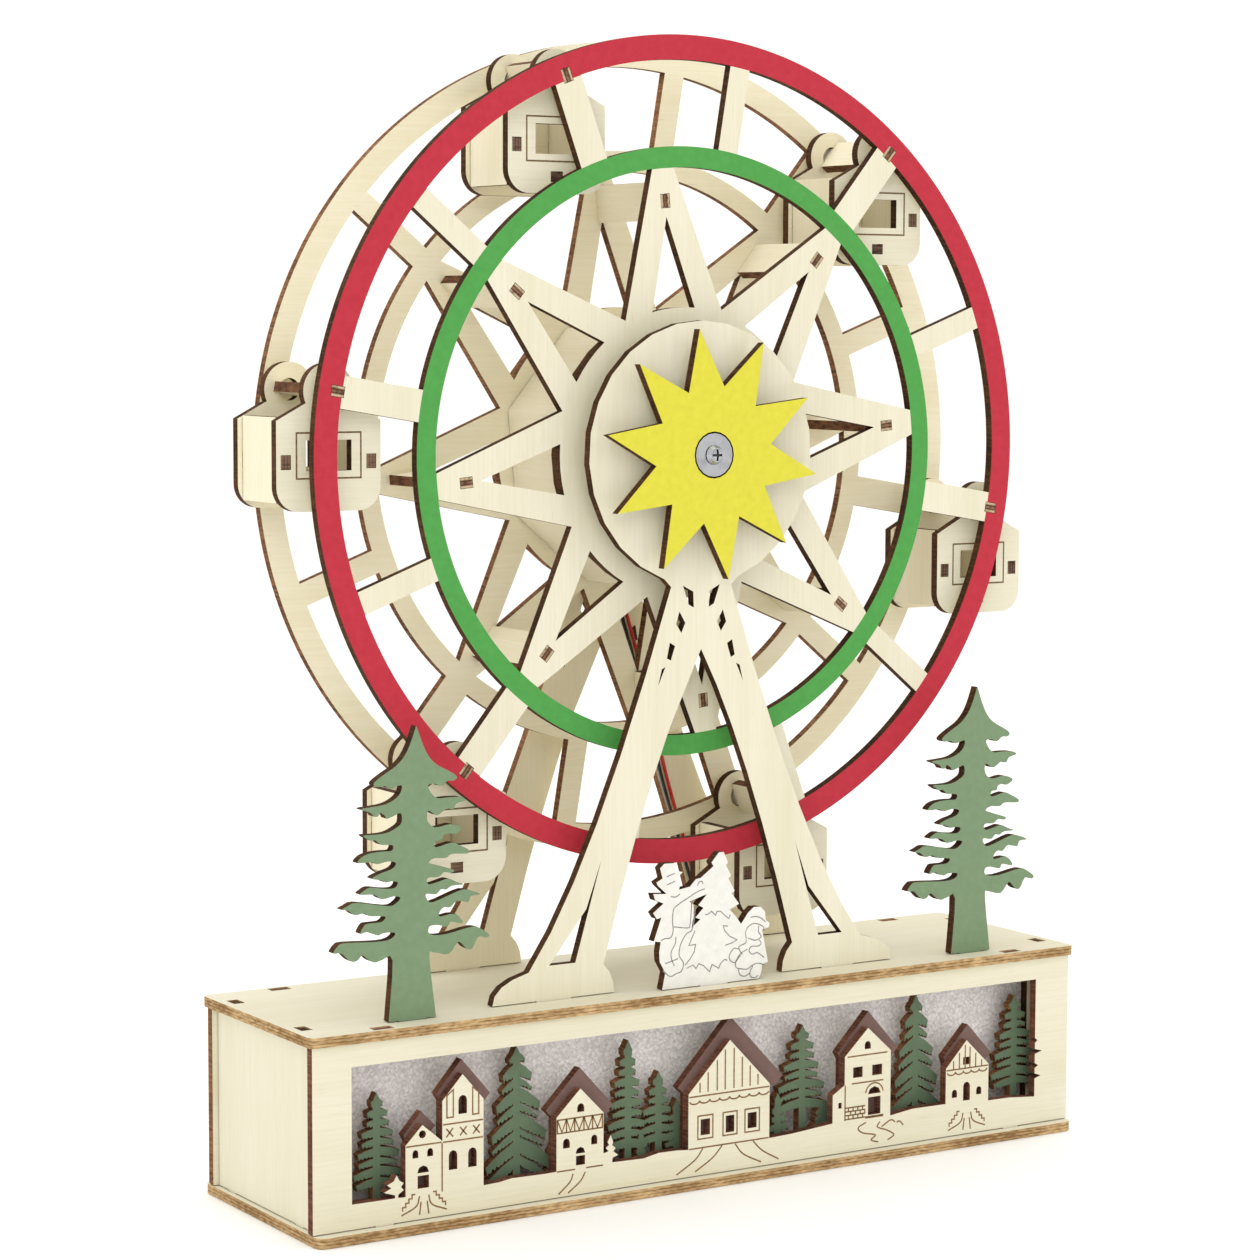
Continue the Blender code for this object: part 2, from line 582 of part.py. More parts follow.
def add_part(name, shape, look, place=(0, 0, 0), parent=None):
    """Turn a shape into a named object at a place in millimetres, under an empty if given."""
    mesh = bpy.data.meshes.new(name)
    shape.to_mesh(mesh)
    shape.free()
    mesh.shade_smooth()
    mesh.set_sharp_from_angle(angle=math.radians(SHARP_ANGLE))
    mesh.materials.append(new_material(name, look))
    return place_object(bpy.data.objects.new(name, mesh), place, parent)


def place_object(item, place, parent):
    PARTS.objects.link(item)
    offset = parent["place"] if parent else (0, 0, 0)
    item.parent = parent
    item.location = [(p - o) * MM for p, o in zip(place, offset)]
    return item


def add_axis(name, place, parent=None):
    """An empty on a joint's axis, which carries the pieces that turn about it."""
    empty = bpy.data.objects.new(name, None)
    empty.empty_display_size = AXIS_MARK_SIZE * MM
    place_object(empty, place, parent)
    empty["place"] = place
    return empty


def cut(item, shape, name, place=(0, 0, 0)):
    """Cut a piece with a solid at a place, which stays in the cutters' collection."""
    mesh = bpy.data.meshes.new(name)
    shape.to_mesh(mesh)
    shape.free()
    cutter = bpy.data.objects.new(name, mesh)
    CUTTERS.objects.link(cutter)
    cutter.hide_render = True
    cutter.display_type = "WIRE"
    cutter.location = Vector(place) * MM
    modifier = item.modifiers.new(name, "BOOLEAN")
    modifier.operation = "DIFFERENCE"
    modifier.object = cutter
    return item


def tabbed_edge(start, end, level, tabs, width, rise):
    """A straight edge at one level with tabs standing out of it, from start to end."""
    direction = 1 if end > start else -1
    points = [(start, level)]
    for centre in sorted(tabs, reverse=direction < 0):
        near = centre - direction * width / 2
        far = centre + direction * width / 2
        points += [(near, level), (near, level + rise), (far, level + rise), (far, level)]
    points.append((end, level))
    return points


def wall_tabs():
    return (-TOP_LENGTH / 2 + WALL_TAB_INSET, TOP_LENGTH / 2 - WALL_TAB_INSET)


def end_tabs():
    return (-END_TAB_SPREAD / 2, END_TAB_SPREAD / 2)


def wall_outline(half_length, tabs, width):
    """The outline of a base wall with tabs into the top and bottom panels."""
    return (tabbed_edge(-half_length, half_length, WALL_BOTTOM, tabs, width, -PLY)
            + tabbed_edge(half_length, -half_length, WALL_TOP, tabs, width, PLY))


def wall_slots():
    """Slots in the top and bottom panels for the tabs of the four walls."""
    slots = []
    for tab in wall_tabs():
        for wall_y in (FRONT_WALL_Y, BACK_WALL_Y):
            slots.append(slot(tab, wall_y + PLY / 2, WALL_TAB_WIDTH, PLY))
    for tab in end_tabs():
        for side in (-1, 1):
            slots.append(slot(side * (END_WALL_X + PLY / 2), tab, PLY, END_TAB_WIDTH))
    return slots


def foot_tab_x():
    return (FOOT_INNER + FOOT_OUTER) / 2


def standing_slots():
    """Slots in the top panel for what stands on it."""
    slots = []
    for side in (-1, 1):
        for support_y in (FRONT_SUPPORT_Y, REAR_SUPPORT_Y):
            slots.append(slot(side * foot_tab_x(), support_y + PLY / 2, FOOT_TAB_WIDTH, PLY))
        slots.append(slot(side * TREE_X, TREE_Y + PLY / 2, TREE_TAB_WIDTH, PLY))
    slots.append(slot(SNOWMAN_TAB_X, SNOWMAN_Y + PLY / 2, SNOWMAN_TAB_WIDTH, PLY))
    return slots


def scene_x(x):
    """A drawn distance along the village, stretched to the window's width."""
    return WINDOW_LEFT + (x - DRAWN_WINDOW_LEFT) * SCENE_STRETCH


def scene_points(points):
    """Village artwork scaled to the window."""
    return [(scene_x(x), z * SCENE_SCALE) for x, z in points]


def village_window():
    """The window's outline: the sky above, and the ground with its houses below."""
    skyline = list(GROUND["start"])
    skyline += SMALL_FIR_LEFT
    skyline += GROUND["A"]
    skyline += GABLES["A"][:-1]
    skyline += [(GABLES["B"][0][0], GABLES["A"][-1][1])]
    skyline += GABLES["B"]
    skyline += GROUND["C"]
    skyline += GABLES["C"]
    skyline += SMALL_FIR_RIGHT
    skyline += GROUND["D"]
    skyline += GABLES["D"]
    skyline += GROUND["E"]
    skyline += GABLES["E"]
    skyline += GROUND["F"]
    skyline += GABLES["F"]
    skyline += GROUND["end"]
    jamb = []
    for depth, height in JAMB_NOTCHES:
        jamb.append((DRAWN_WINDOW_RIGHT, height - NOTCH_HEIGHT / 2))
        jamb.append((DRAWN_WINDOW_RIGHT + depth, height))
        jamb.append((DRAWN_WINDOW_RIGHT, height + NOTCH_HEIGHT / 2))
    return (scene_points(skyline + jamb)
            + [(WINDOW_RIGHT, WINDOW_TOP), (WINDOW_LEFT, WINDOW_TOP)])


def arched_opening(centre_x, bottom, width, height):
    """A house window or door with a round head."""
    radius = width / 2
    head = arc(centre_x, bottom + height - radius, radius, 0, 180, 4)
    return scene_points([(centre_x - radius, bottom), (centre_x + radius, bottom)] + head)


def village_openings():
    openings = [arched_opening(*sizes) for sizes in ARCHED_OPENINGS]
    openings += [scene_points(rectangle(*corners)) for corners in SQUARE_OPENINGS]
    openings.append(scene_points(circle(*ROUND_OPENING, SMALL_HOLE_SIDES)))
    return openings


def roof_layer_outline():
    """The roof boards on their columns, which join a strip hidden behind the front wall."""
    outline = [(-LAYER_HALF_LENGTH, WALL_BOTTOM), (LAYER_HALF_LENGTH, WALL_BOTTOM),
               (LAYER_HALF_LENGTH, SCENE_STRIP_TOP)]
    for left_end, ridge, right_end, column_left, column_right in reversed(ROOFS):
        right_foot = (right_end[0] - ROOF_END_DEPTH, right_end[1] - ROOF_END_DEPTH)
        left_foot = (left_end[0] + ROOF_END_DEPTH, left_end[1] - ROOF_END_DEPTH)
        run = [(scene_x(column_right), SCENE_STRIP_TOP)]
        run += scene_points([(column_right, right_foot[1]), right_foot, right_end, ridge, left_end])
        if left_foot[0] < column_left:
            run += scene_points([left_foot])
        run += scene_points([(column_left, left_foot[1])])
        run += [(scene_x(column_left), SCENE_STRIP_TOP)]
        outline += run
    outline.append((-LAYER_HALF_LENGTH, SCENE_STRIP_TOP))
    return outline


def fir_side(reach, top, low, pitch, droop):
    """One side of a window tree from its tip down, as (distance from the trunk, height)."""
    tiers = round((top - low) / pitch)
    step = (top - low) / tiers
    points = []
    for index in range(tiers):
        share = (index + 1) / tiers
        swing = 1.0 if index % 2 else SHORT_BRANCH_SHARE
        out = reach * share ** BRANCH_GROWTH_POWER * swing
        tip = top - step * (index + 1)
        root = tip + min(droop * out + step * BRANCH_RISE_SHARE, step * BRANCH_RISE_LIMIT_SHARE)
        inner = SCENE_TRUNK_HALF_WIDTH / 2 + out * BRANCH_ROOT_SHARE * (1 - droop)
        points.append((inner, root))
        points.append((out, tip))
        points.append((inner, root - step * BRANCH_THICKNESS_SHARE))
    return points


def tree_layer_outline():
    """The window trees on a strip hidden behind the front wall."""
    outline = [(-LAYER_HALF_LENGTH, WALL_BOTTOM), (LAYER_HALF_LENGTH, WALL_BOTTOM),
               (LAYER_HALF_LENGTH, SCENE_STRIP_TOP)]
    for x, top, low, left_reach, right_reach, pitch, droop in reversed(SCENE_TREES):
        right = fir_side(right_reach, top, low, pitch, droop)
        left = fir_side(left_reach, top, low, pitch, droop)
        outline.append((scene_x(x + SCENE_TRUNK_HALF_WIDTH), SCENE_STRIP_TOP))
        outline += scene_points([(x + out, z) for out, z in reversed(right)])
        outline += scene_points([(x, top)])
        outline += scene_points([(x - out, z) for out, z in left])
        outline.append((scene_x(x - SCENE_TRUNK_HALF_WIDTH), SCENE_STRIP_TOP))
    outline.append((-LAYER_HALF_LENGTH, SCENE_STRIP_TOP))
    return outline


def hatch_rectangle(grow=0.0):
    half_length = HATCH_LENGTH / 2 + grow
    half_width = HATCH_WIDTH / 2 + grow
    return rectangle(HOLDER_X - half_length, HOLDER_Y - half_width,
                     HOLDER_X + half_length, HOLDER_Y + half_width)


def make_base():
    """The six panels of the base box."""
    bottom = [rounded_rectangle(WALL_LENGTH, BOTTOM_DEPTH, BOTTOM_CORNER)]
    bottom += wall_slots()
    bottom.append(hatch_rectangle(SLOT_CLEARANCE))
    add_part("base_bottom_panel", sheet_mesh(bottom, PLY, FLAT), BIRCH)

    top = [rounded_rectangle(TOP_LENGTH, TOP_DEPTH, TOP_CORNER)]
    top += wall_slots() + standing_slots()
    top.append(circle(WIRE_HOLE_X, WIRE_HOLE_Y, WIRE_HOLE_RADIUS, SMALL_HOLE_SIDES))
    add_part("base_top_panel", sheet_mesh(top, PLY, FLAT), BIRCH, (0, 0, TOP_Z - PLY))

    front = [wall_outline(WALL_LENGTH / 2, wall_tabs(), WALL_TAB_WIDTH), village_window()]
    front += village_openings()
    add_part("base_front_panel", sheet_mesh(front, PLY), BIRCH, (0, FRONT_WALL_Y, 0))

    knob_slot = slot(SWITCH_X + SWITCH_TRAVEL / 2, SWITCH_Z, KNOB_WIDTH + SWITCH_TRAVEL, KNOB_HEIGHT)
    back = [wall_outline(WALL_LENGTH / 2, wall_tabs(), WALL_TAB_WIDTH), knob_slot]
    add_part("base_back_panel", sheet_mesh(back, PLY), BIRCH, (0, BACK_WALL_Y, 0))

    half_depth = BACK_WALL_Y - FIT_GAP
    end = [wall_outline(half_depth, end_tabs(), END_TAB_WIDTH)]
    add_part("base_end_left", sheet_mesh(end, PLY, SIDEWAYS), BIRCH, (-END_WALL_X - PLY, 0, 0))
    add_part("base_end_right", sheet_mesh(end, PLY, SIDEWAYS), BIRCH, (END_WALL_X, 0, 0))


def make_scene_layers():
    """The roofs, the trees and the sky behind the base's window."""
    roofs = sheet_mesh([roof_layer_outline()], PLY)
    add_part("village_roof_layer", roofs, ROOF_BROWN, (0, ROOF_LAYER_Y, 0))
    trees = sheet_mesh([tree_layer_outline()], PLY)
    add_part("village_tree_layer", trees, FIR_GREEN, (0, TREE_LAYER_Y, 0))
    sky = rectangle(-LAYER_HALF_LENGTH, WALL_BOTTOM, LAYER_HALF_LENGTH, WALL_TOP)
    add_part("sky_sheet", sheet_mesh([sky], SKY_THICKNESS), SKY_GREY, (0, SKY_Y, 0))
    opening = rectangle(-LAYER_HALF_LENGTH + SKY_FRAME_WIDTH, WALL_BOTTOM + SKY_FRAME_WIDTH,
                        LAYER_HALF_LENGTH - SKY_FRAME_WIDTH, WALL_TOP - SKY_FRAME_WIDTH)
    add_part("sky_spacer_frame", sheet_mesh([sky, opening], SKY_DISTANCE), BIRCH, (0, SKY_SPACER_Y, 0))


def support_outline():
    """An A-shaped support about its middle, heights measured from the base's top."""
    neck_height = HUB_HEIGHT - math.sqrt(HEAD_RADIUS ** 2 - (NECK_HALF_WIDTH + NECK_CORNER) ** 2)
    head_turn = math.degrees(math.asin((NECK_HALF_WIDTH + NECK_CORNER) / HEAD_RADIUS))
    head = arc(0, HUB_HEIGHT, HEAD_RADIUS, head_turn - 90, 90, 12)
    leg_top = (NECK_HALF_WIDTH, neck_height - NECK_CORNER)
    outer = bend((ANKLE_OUTER, ANKLE_HEIGHT), LEG_OUTER_BEND, leg_top, 6)
    inner = bend((0, HUB_HEIGHT - CROTCH_DROP), LEG_INNER_BEND, (ANKLE_INNER, ANKLE_HEIGHT), 6)
    toe_bend = (FOOT_OUTER, ANKLE_HEIGHT * TOE_BEND_SHARE)
    heel_bend = (FOOT_INNER, ANKLE_HEIGHT * HEEL_BEND_SHARE)
    toe = bend((FOOT_OUTER, 0), toe_bend, (ANKLE_OUTER, ANKLE_HEIGHT), 4)
    heel = bend((ANKLE_INNER, ANKLE_HEIGHT), heel_bend, (FOOT_INNER, 0), 3)
    tab = tabbed_edge(FOOT_INNER, FOOT_OUTER, 0, (foot_tab_x(),), FOOT_TAB_WIDTH, -PLY)
    right = inner[1:] + heel[1:-1] + tab + toe[1:] + outer[1:] + head
    left = mirrored(right)
    return [inner[0]] + right[:-1] + left[:-1]


def support_loops():
    """A support's outline with its neck cut-outs and foot slits."""
    loops = [support_outline()]
    for hole in NECK_CUTS:
        raised = moved(hole, 0, HUB_HEIGHT)
        loops += [raised, mirrored(raised)]
    loops += [list(FOOT_SLIT), mirrored(FOOT_SLIT)]
    return loops


def motor_screw_places():
    return [polar(MOTOR_SCREW_RING_RADIUS, angle) for angle in (0, 180)]


def make_supports():
    foot = TOP_Z + FIT_GAP
    front = support_loops() + [circle(0, HUB_HEIGHT - FIT_GAP, AXLE_BORE, TURNED_SIDES)]
    add_part("front_support", sheet_mesh(front, PLY), BIRCH, (0, FRONT_SUPPORT_Y, foot))
    rear = support_loops()
    for x, z in motor_screw_places():
        hole = MOTOR_SCREW_RADIUS + SLOT_CLEARANCE
        rear.append(circle(x, HUB_HEIGHT - FIT_GAP + z, hole, SMALL_HOLE_SIDES))
    add_part("rear_support", sheet_mesh(rear, PLY), BIRCH, (0, REAR_SUPPORT_Y, foot))


def make_star():
    """The painted star on its spacer, in front of the support's head."""
    tips = []
    for index in range(STAR_TIPS):
        angle = STAR_PHASE + index * 360 / STAR_TIPS
        tips.append(polar(STAR_TIP_RADIUS, angle))
        tips.append(polar(STAR_VALLEY_RADIUS, angle + 180 / STAR_TIPS))
    hole = circle(0, 0, WASHER_RADIUS + WASHER_CLEARANCE, TURNED_SIDES)
    add_part("star_ornament", sheet_mesh([tips, hole], PLY), PAINTED_YELLOW, (0, STAR_Y, HUB_Z))
    spacer = [circle(0, 0, SPACER_RADIUS, TURNED_SIDES), hole]
    add_part("star_spacer", sheet_mesh(spacer, PLY), BIRCH, (0, SPACER_Y, HUB_Z))


def fir_branch(reach, height, above, below):
    """A wavy fir branch from its upper root to its lower one, fitted between its neighbours."""
    span = reach - TREE_TRUNK_HALF_WIDTH
    points = []
    for share, rise in TREE_BRANCH_SHARES:
        pitch = above if rise > 0 else below
        points.append((TREE_TRUNK_HALF_WIDTH + span * share, height + rise * pitch))
    return points


def fir_tree_outline():
    """A garden fir: a slender tip, tiers of wavy branches and a trunk with a tab."""
    top = (0, DRAWN_TREE_HEIGHT)
    side = bend(top, TREE_TIP_BEND, TREE_TIERS[0], 5)[1:-1]
    heights = [height for reach, height in TREE_TIERS]
    pitches = [a - b for a, b in zip(heights, heights[1:])] + [TREE_LAST_PITCH]
    for index, (reach, height) in enumerate(TREE_TIERS):
        branch = fir_branch(reach, height, pitches[index - 1], pitches[index])
        if index == 0:
            branch = [point for point in branch if point[1] < height]
        side += branch
    scale = TREE_HEIGHT / DRAWN_TREE_HEIGHT
    side = [(x, z * scale) for x, z in side]
    foot = [(TREE_FOOT_HALF_WIDTH, 0), (TREE_TAB_WIDTH / 2, 0), (TREE_TAB_WIDTH / 2, -PLY)]
    ankle = [(TREE_TRUNK_HALF_WIDTH, (heights[-1] - TREE_LAST_PITCH) * scale)]
    right = side + ankle + foot
    return [(0, TREE_HEIGHT)] + [(-x, z) for x, z in right] + list(reversed(right))


def make_trees():
    for name, x in (("fir_tree_left", -TREE_X), ("fir_tree_right", TREE_X)):
        tree = sheet_mesh([fir_tree_outline()], PLY)
        add_part(name, tree, SAGE_GREEN, (x, TREE_Y, TOP_Z + FIT_GAP))


def make_snowman():
    outline = list(SNOWMAN_OUTLINE)
    left = SNOWMAN_TAB_X - SNOWMAN_TAB_WIDTH / 2
    right = SNOWMAN_TAB_X + SNOWMAN_TAB_WIDTH / 2
    outline += [(right, 0), (right, -PLY), (left, -PLY), (left, 0)]
    scene = sheet_mesh([outline, list(SNOWMAN_GAP)], PLY)
    add_part("snowman_scene", scene, PAINTED_WHITE, (0, SNOWMAN_Y, TOP_Z + FIT_GAP))


def spoke_gap(angle_a, width_a, angle_b, width_b, inner, outer, steps):
    """The opening between two spokes and two rings."""
    def edge(radius, width):
        return math.degrees(math.asin(width / 2 / radius))
    return (arc(0, 0, outer, angle_a + edge(outer, width_a), angle_b - edge(outer, width_b), steps)
            + arc(0, 0, inner, angle_b - edge(inner, width_b), angle_a + edge(inner, width_a), steps))


def wheel_plate_loops(centre_hole, slotted):
    """A wheel plate: rim, ring, spokes and the eight-pointed star round the hub."""
    loops = [circle(0, 0, RIM_OUTER, RIM_SIDES)]
    pitch = 360 / CABIN_COUNT
    for index in range(CABIN_COUNT):
        cabin = WHEEL_PHASE + index * pitch
        plain = cabin + pitch / 2
        loops.append(spoke_gap(cabin, CABIN_SPOKE_WIDTH, plain, PLAIN_SPOKE_WIDTH,
                               RING_OUTER, RIM_INNER, 3))
        loops.append(spoke_gap(plain, PLAIN_SPOKE_WIDTH, cabin + pitch, CABIN_SPOKE_WIDTH,
                               RING_OUTER, RIM_INNER, 3))
        if slotted:
            loops.append(slot(*polar(BAR_RADIUS, cabin), BAR_TAB, PLY, cabin))
    star_pitch = 360 / STAR_POINTS
    tip_edge = math.degrees(math.asin(STAR_TIP_HALF_WIDTH / RING_INNER))
    foot_edge = math.degrees(math.asin(TIP_WINDOW_HALF_WIDTH / TIP_WINDOW_FOOT_RADIUS))
    for index in range(STAR_POINTS):
        tip = WHEEL_PHASE + index * star_pitch
        gap = arc(0, 0, RING_INNER, tip + tip_edge, tip + star_pitch - tip_edge, 5)
        loops.append(gap + [polar(STAR_NOTCH_RADIUS, tip + star_pitch / 2)])
        window = arc(0, 0, TIP_WINDOW_FOOT_RADIUS, tip - foot_edge, tip + foot_edge, 2)
        loops.append(window + [polar(TIP_WINDOW_APEX_RADIUS, tip)])
        if slotted:
            loops.append(slot(*polar(PLANK_RADIUS, tip), PLANK_TAB, PLY, tip))
    loops.append(circle(0, 0, centre_hole, TURNED_SIDES))
    return loops


def crossing_piece(radius, angle, width, tab_width):
    """A board across the wheel, glued into the rear plate, with a tab through the front one."""
    start = FRONT_PLATE_Y + PLY + FIT_GAP
    end = REAR_PLATE_Y + PLY / 2
    half = width / 2
    tab = tab_width / 2
    outline = [(-half, start), (-tab, start), (-tab, FRONT_PLATE_Y), (tab, FRONT_PLATE_Y), (tab, start),
               (half, start), (half, end), (-half, end)]
    board = shifted(sheet_mesh([outline], PLY, FLAT), x=radius, z=-PLY / 2)
    return turned_about_y(board, angle)


def wheel_boards():
    """The cross planks at the star's tips and the bars that the cabins hang on."""
    boards = []
    for index in range(STAR_POINTS):
        angle = WHEEL_PHASE + index * 360 / STAR_POINTS
        boards.append(crossing_piece(PLANK_RADIUS, angle, PLANK_WIDTH, PLANK_TAB))
    for index in range(CABIN_COUNT):
        angle = WHEEL_PHASE + index * 360 / CABIN_COUNT
        boards.append(crossing_piece(BAR_RADIUS, angle, BAR_WIDTH, BAR_TAB))
    return boards


def drum_shape():
    """The octagonal drum round the motor, its eight walls glued edge to edge."""
    outer = DRUM_APOTHEM / math.cos(math.pi / DRUM_SIDES)
    inner = (DRUM_APOTHEM - PLY) / math.cos(math.pi / DRUM_SIDES)
    half_pitch = 180 / DRUM_SIDES
    outside = turned(circle(0, 0, outer, DRUM_SIDES), WHEEL_PHASE + half_pitch)
    inside = turned(circle(0, 0, inner, DRUM_SIDES), WHEEL_PHASE + half_pitch)
    start = FRONT_DISC_Y + PLY + FIT_GAP
    return shifted(sheet_mesh([outside, inside], REAR_PLATE_Y - FIT_GAP - start), y=start)


def make_wheel():
    """Both wheel plates, their hub discs, the drum, the planks and the cabin bars."""
    axis = add_axis("wheel_axis", (0, 0, HUB_Z))
    front = sheet_mesh(wheel_plate_loops(AXLE_BORE, True), PLY)
    add_part("wheel_front_plate", front, BIRCH, (0, FRONT_PLATE_Y, HUB_Z), axis)
    rear = shifted(sheet_mesh(wheel_plate_loops(MOTOR_HOLE_RADIUS, False), PLY), y=REAR_PLATE_Y)
    add_part("wheel_rear_plate", united([rear] + wheel_boards()), BIRCH, (0, 0, HUB_Z), axis)

    rim = circle(0, 0, DISC_RADIUS, DISC_SIDES)
    front_disc = [rim, circle(0, 0, AXLE_BORE, TURNED_SIDES)]
    add_part("front_hub_disc", sheet_mesh(front_disc, PLY), BIRCH, (0, FRONT_DISC_Y, HUB_Z), axis)
    rear_disc = [rim, circle(0, 0, MOTOR_HOLE_RADIUS, TURNED_SIDES)]
    add_part("rear_hub_disc", sheet_mesh(rear_disc, PLY), BIRCH, (0, REAR_DISC_Y, HUB_Z), axis)
    add_part("hub_drum", drum_shape(), BIRCH, (0, 0, HUB_Z), axis)
    return axis


def make_axle(axis):
    """The front axle with its washer and screw, and the motor's shaft in the hub block."""
    head_y = STAR_Y + WASHER_THICKNESS
    axle_start = head_y + FIT_GAP
    axle_end = FRONT_DISC_Y + PLY
    screw_hole = SCREW_SHANK_RADIUS + FIT_GAP
    depth = axle_start + SCREW_LENGTH + FIT_GAP
    axle = rod_mesh([(0, depth), (screw_hole, depth), (screw_hole, axle_start), (AXLE_RADIUS, axle_start),
                     (AXLE_RADIUS, axle_end), (0, axle_end)], TURNED_SIDES)
    add_part("front_axle", axle, BIRCH, (0, 0, HUB_Z), axis)

    washer = rod_mesh([(screw_hole, STAR_Y), (WASHER_RADIUS, STAR_Y), (WASHER_RADIUS, head_y),
                       (screw_hole, head_y), (screw_hole, STAR_Y)], TURNED_SIDES)
    add_part("axle_washer", washer, STEEL, (0, 0, HUB_Z), axis)

    under_head = STAR_Y - FIT_GAP
    top = under_head - SCREW_HEAD_HEIGHT
    dome = [(SCREW_HEAD_RADIUS * math.sin(math.radians(angle)),
             under_head - SCREW_HEAD_HEIGHT * math.cos(math.radians(angle))) for angle in (0, 45, 90)]
    profile = dome + [(SCREW_SHANK_RADIUS, under_head), (SCREW_SHANK_RADIUS, axle_start + SCREW_LENGTH),
                      (0, axle_start + SCREW_LENGTH)]
    screw = add_part("axle_screw", rod_mesh(profile, SCREW_SIDES), STEEL, (0, 0, HUB_Z), axis)
    reach = SCREW_RECESS_LENGTH / 2
    half = SCREW_RECESS_WIDTH / 2
    floor = top + SCREW_RECESS_DEPTH
    above = top - CUTTER_OVERRUN
    slots = (box_mesh((-reach, above, -half), (reach, floor, half)),
             box_mesh((-half, above, -reach), (half, floor, reach)))
    for index, recess in enumerate(slots):
        cut(screw, recess, f"screw_recess_cutter_{index + 1}", (0, 0, HUB_Z))

    hub_start = axle_end + FIT_GAP
    bore = SHAFT_RADIUS + FIT_GAP
    hub = rod_mesh([(bore, hub_start), (HUB_BLOCK_RADIUS, hub_start),
                    (HUB_BLOCK_RADIUS, hub_start + HUB_BLOCK_LENGTH),
                    (bore, hub_start + HUB_BLOCK_LENGTH), (bore, hub_start)], HIDDEN_SIDES)
    add_part("hub_block", hub, BIRCH, (0, 0, HUB_Z), axis)

    shaft_end = MOTOR_FRONT_Y - MOTOR_BOSS_LENGTH - FIT_GAP
    shaft_start = max(hub_start + FIT_GAP, hub_start + HUB_BLOCK_LENGTH - SHAFT_REACH)
    shaft = rod_mesh([(0, shaft_start), (SHAFT_RADIUS, shaft_start), (SHAFT_RADIUS, shaft_end),
                      (0, shaft_end)], SMALL_HOLE_SIDES)
    add_part("motor_shaft", shaft, STEEL, (0, 0, HUB_Z), axis)


def cabin_plate_loops():
    """A cabin's front or rear plate about its bar: an ear above a rounded box."""
    neck_turn = math.degrees(math.asin(NECK_DROP / EAR_RADIUS))
    corner_x = CABIN_HALF_WIDTH - CABIN_CORNER
    corner_z = CABIN_CORNER - CABIN_DROP
    ear = arc(0, 0, EAR_RADIUS, -neck_turn, 180 + neck_turn, 8)
    left = [(-CABIN_HALF_WIDTH, -SHOULDER_DROP)]
    left += arc(-corner_x, corner_z, CABIN_CORNER, 180, 270, 3)
    right = arc(corner_x, corner_z, CABIN_CORNER, 270, 360, 3)
    right += [(CABIN_HALF_WIDTH, -SHOULDER_DROP)]
    outline = ear + left + right
    half_width = CABIN_WINDOW_WIDTH / 2
    half_height = CABIN_WINDOW_HEIGHT / 2
    window = moved(rectangle(-half_width, -half_height, half_width, half_height), 0, -CABIN_WINDOW_DROP)
    wall_x = CABIN_HALF_WIDTH - CABIN_WALL_INSET - PLY / 2
    floor_z = -CABIN_FLOOR_DROP - PLY / 2
    return [outline, circle(0, 0, BAR_HOLE_RADIUS, 12), window,
            slot(wall_x, -CABIN_TAB_DROP, PLY, CABIN_TAB), slot(-wall_x, -CABIN_TAB_DROP, PLY, CABIN_TAB),
            slot(0, floor_z, CABIN_TAB, PLY)]


def cabin_box_shapes():
    """A cabin's side walls and floor, glued together, with tabs into both plates."""
    start = PLY + FIT_GAP
    end = CABIN_DEPTH - PLY - FIT_GAP
    outer = CABIN_HALF_WIDTH - CABIN_WALL_INSET
    inner = outer - PLY
    low = -CABIN_DROP + CABIN_WALL_HANG
    tab = CABIN_TAB / 2
    shapes = []
    for left, right in ((-outer, -inner), (inner, outer)):
        shapes.append(box_mesh((left, start, low), (right, end, -CABIN_WALL_TOP)))
        shapes.append(box_mesh((left + TAB_RELIEF, 0, -CABIN_TAB_DROP - tab),
                               (right - TAB_RELIEF, CABIN_DEPTH, -CABIN_TAB_DROP + tab)))
    floor_side = outer - PLY / 2
    floor_low = -CABIN_FLOOR_DROP - PLY
    shapes.append(box_mesh((-floor_side, start + FIT_GAP, floor_low),
                           (floor_side, end - FIT_GAP, -CABIN_FLOOR_DROP)))
    shapes.append(box_mesh((-tab, 0, floor_low + TAB_RELIEF),
                           (tab, CABIN_DEPTH, -CABIN_FLOOR_DROP - TAB_RELIEF)))
    return shapes


def make_cabins(axis):
    """Six cabins, each on its own pivot at the end of a cabin spoke."""
    for index in range(CABIN_COUNT):
        x, z = polar(BAR_RADIUS, WHEEL_PHASE + index * 360 / CABIN_COUNT)
        name = f"cabin_{index + 1}"
        pivot = add_axis(f"{name}_pivot", (x, 0, HUB_Z + z), axis)
        front = sheet_mesh(cabin_plate_loops(), PLY)
        add_part(f"{name}_front_plate", front, BIRCH, (x, CABIN_Y, HUB_Z + z), pivot)
        rear = sheet_mesh(cabin_plate_loops(), PLY)
        rear_y = CABIN_Y + CABIN_DEPTH - PLY
        add_part(f"{name}_rear_plate", rear, BIRCH, (x, rear_y, HUB_Z + z), pivot)
        box = united(cabin_box_shapes())
        add_part(f"{name}_box", box, BIRCH, (x, CABIN_Y, HUB_Z + z), pivot)


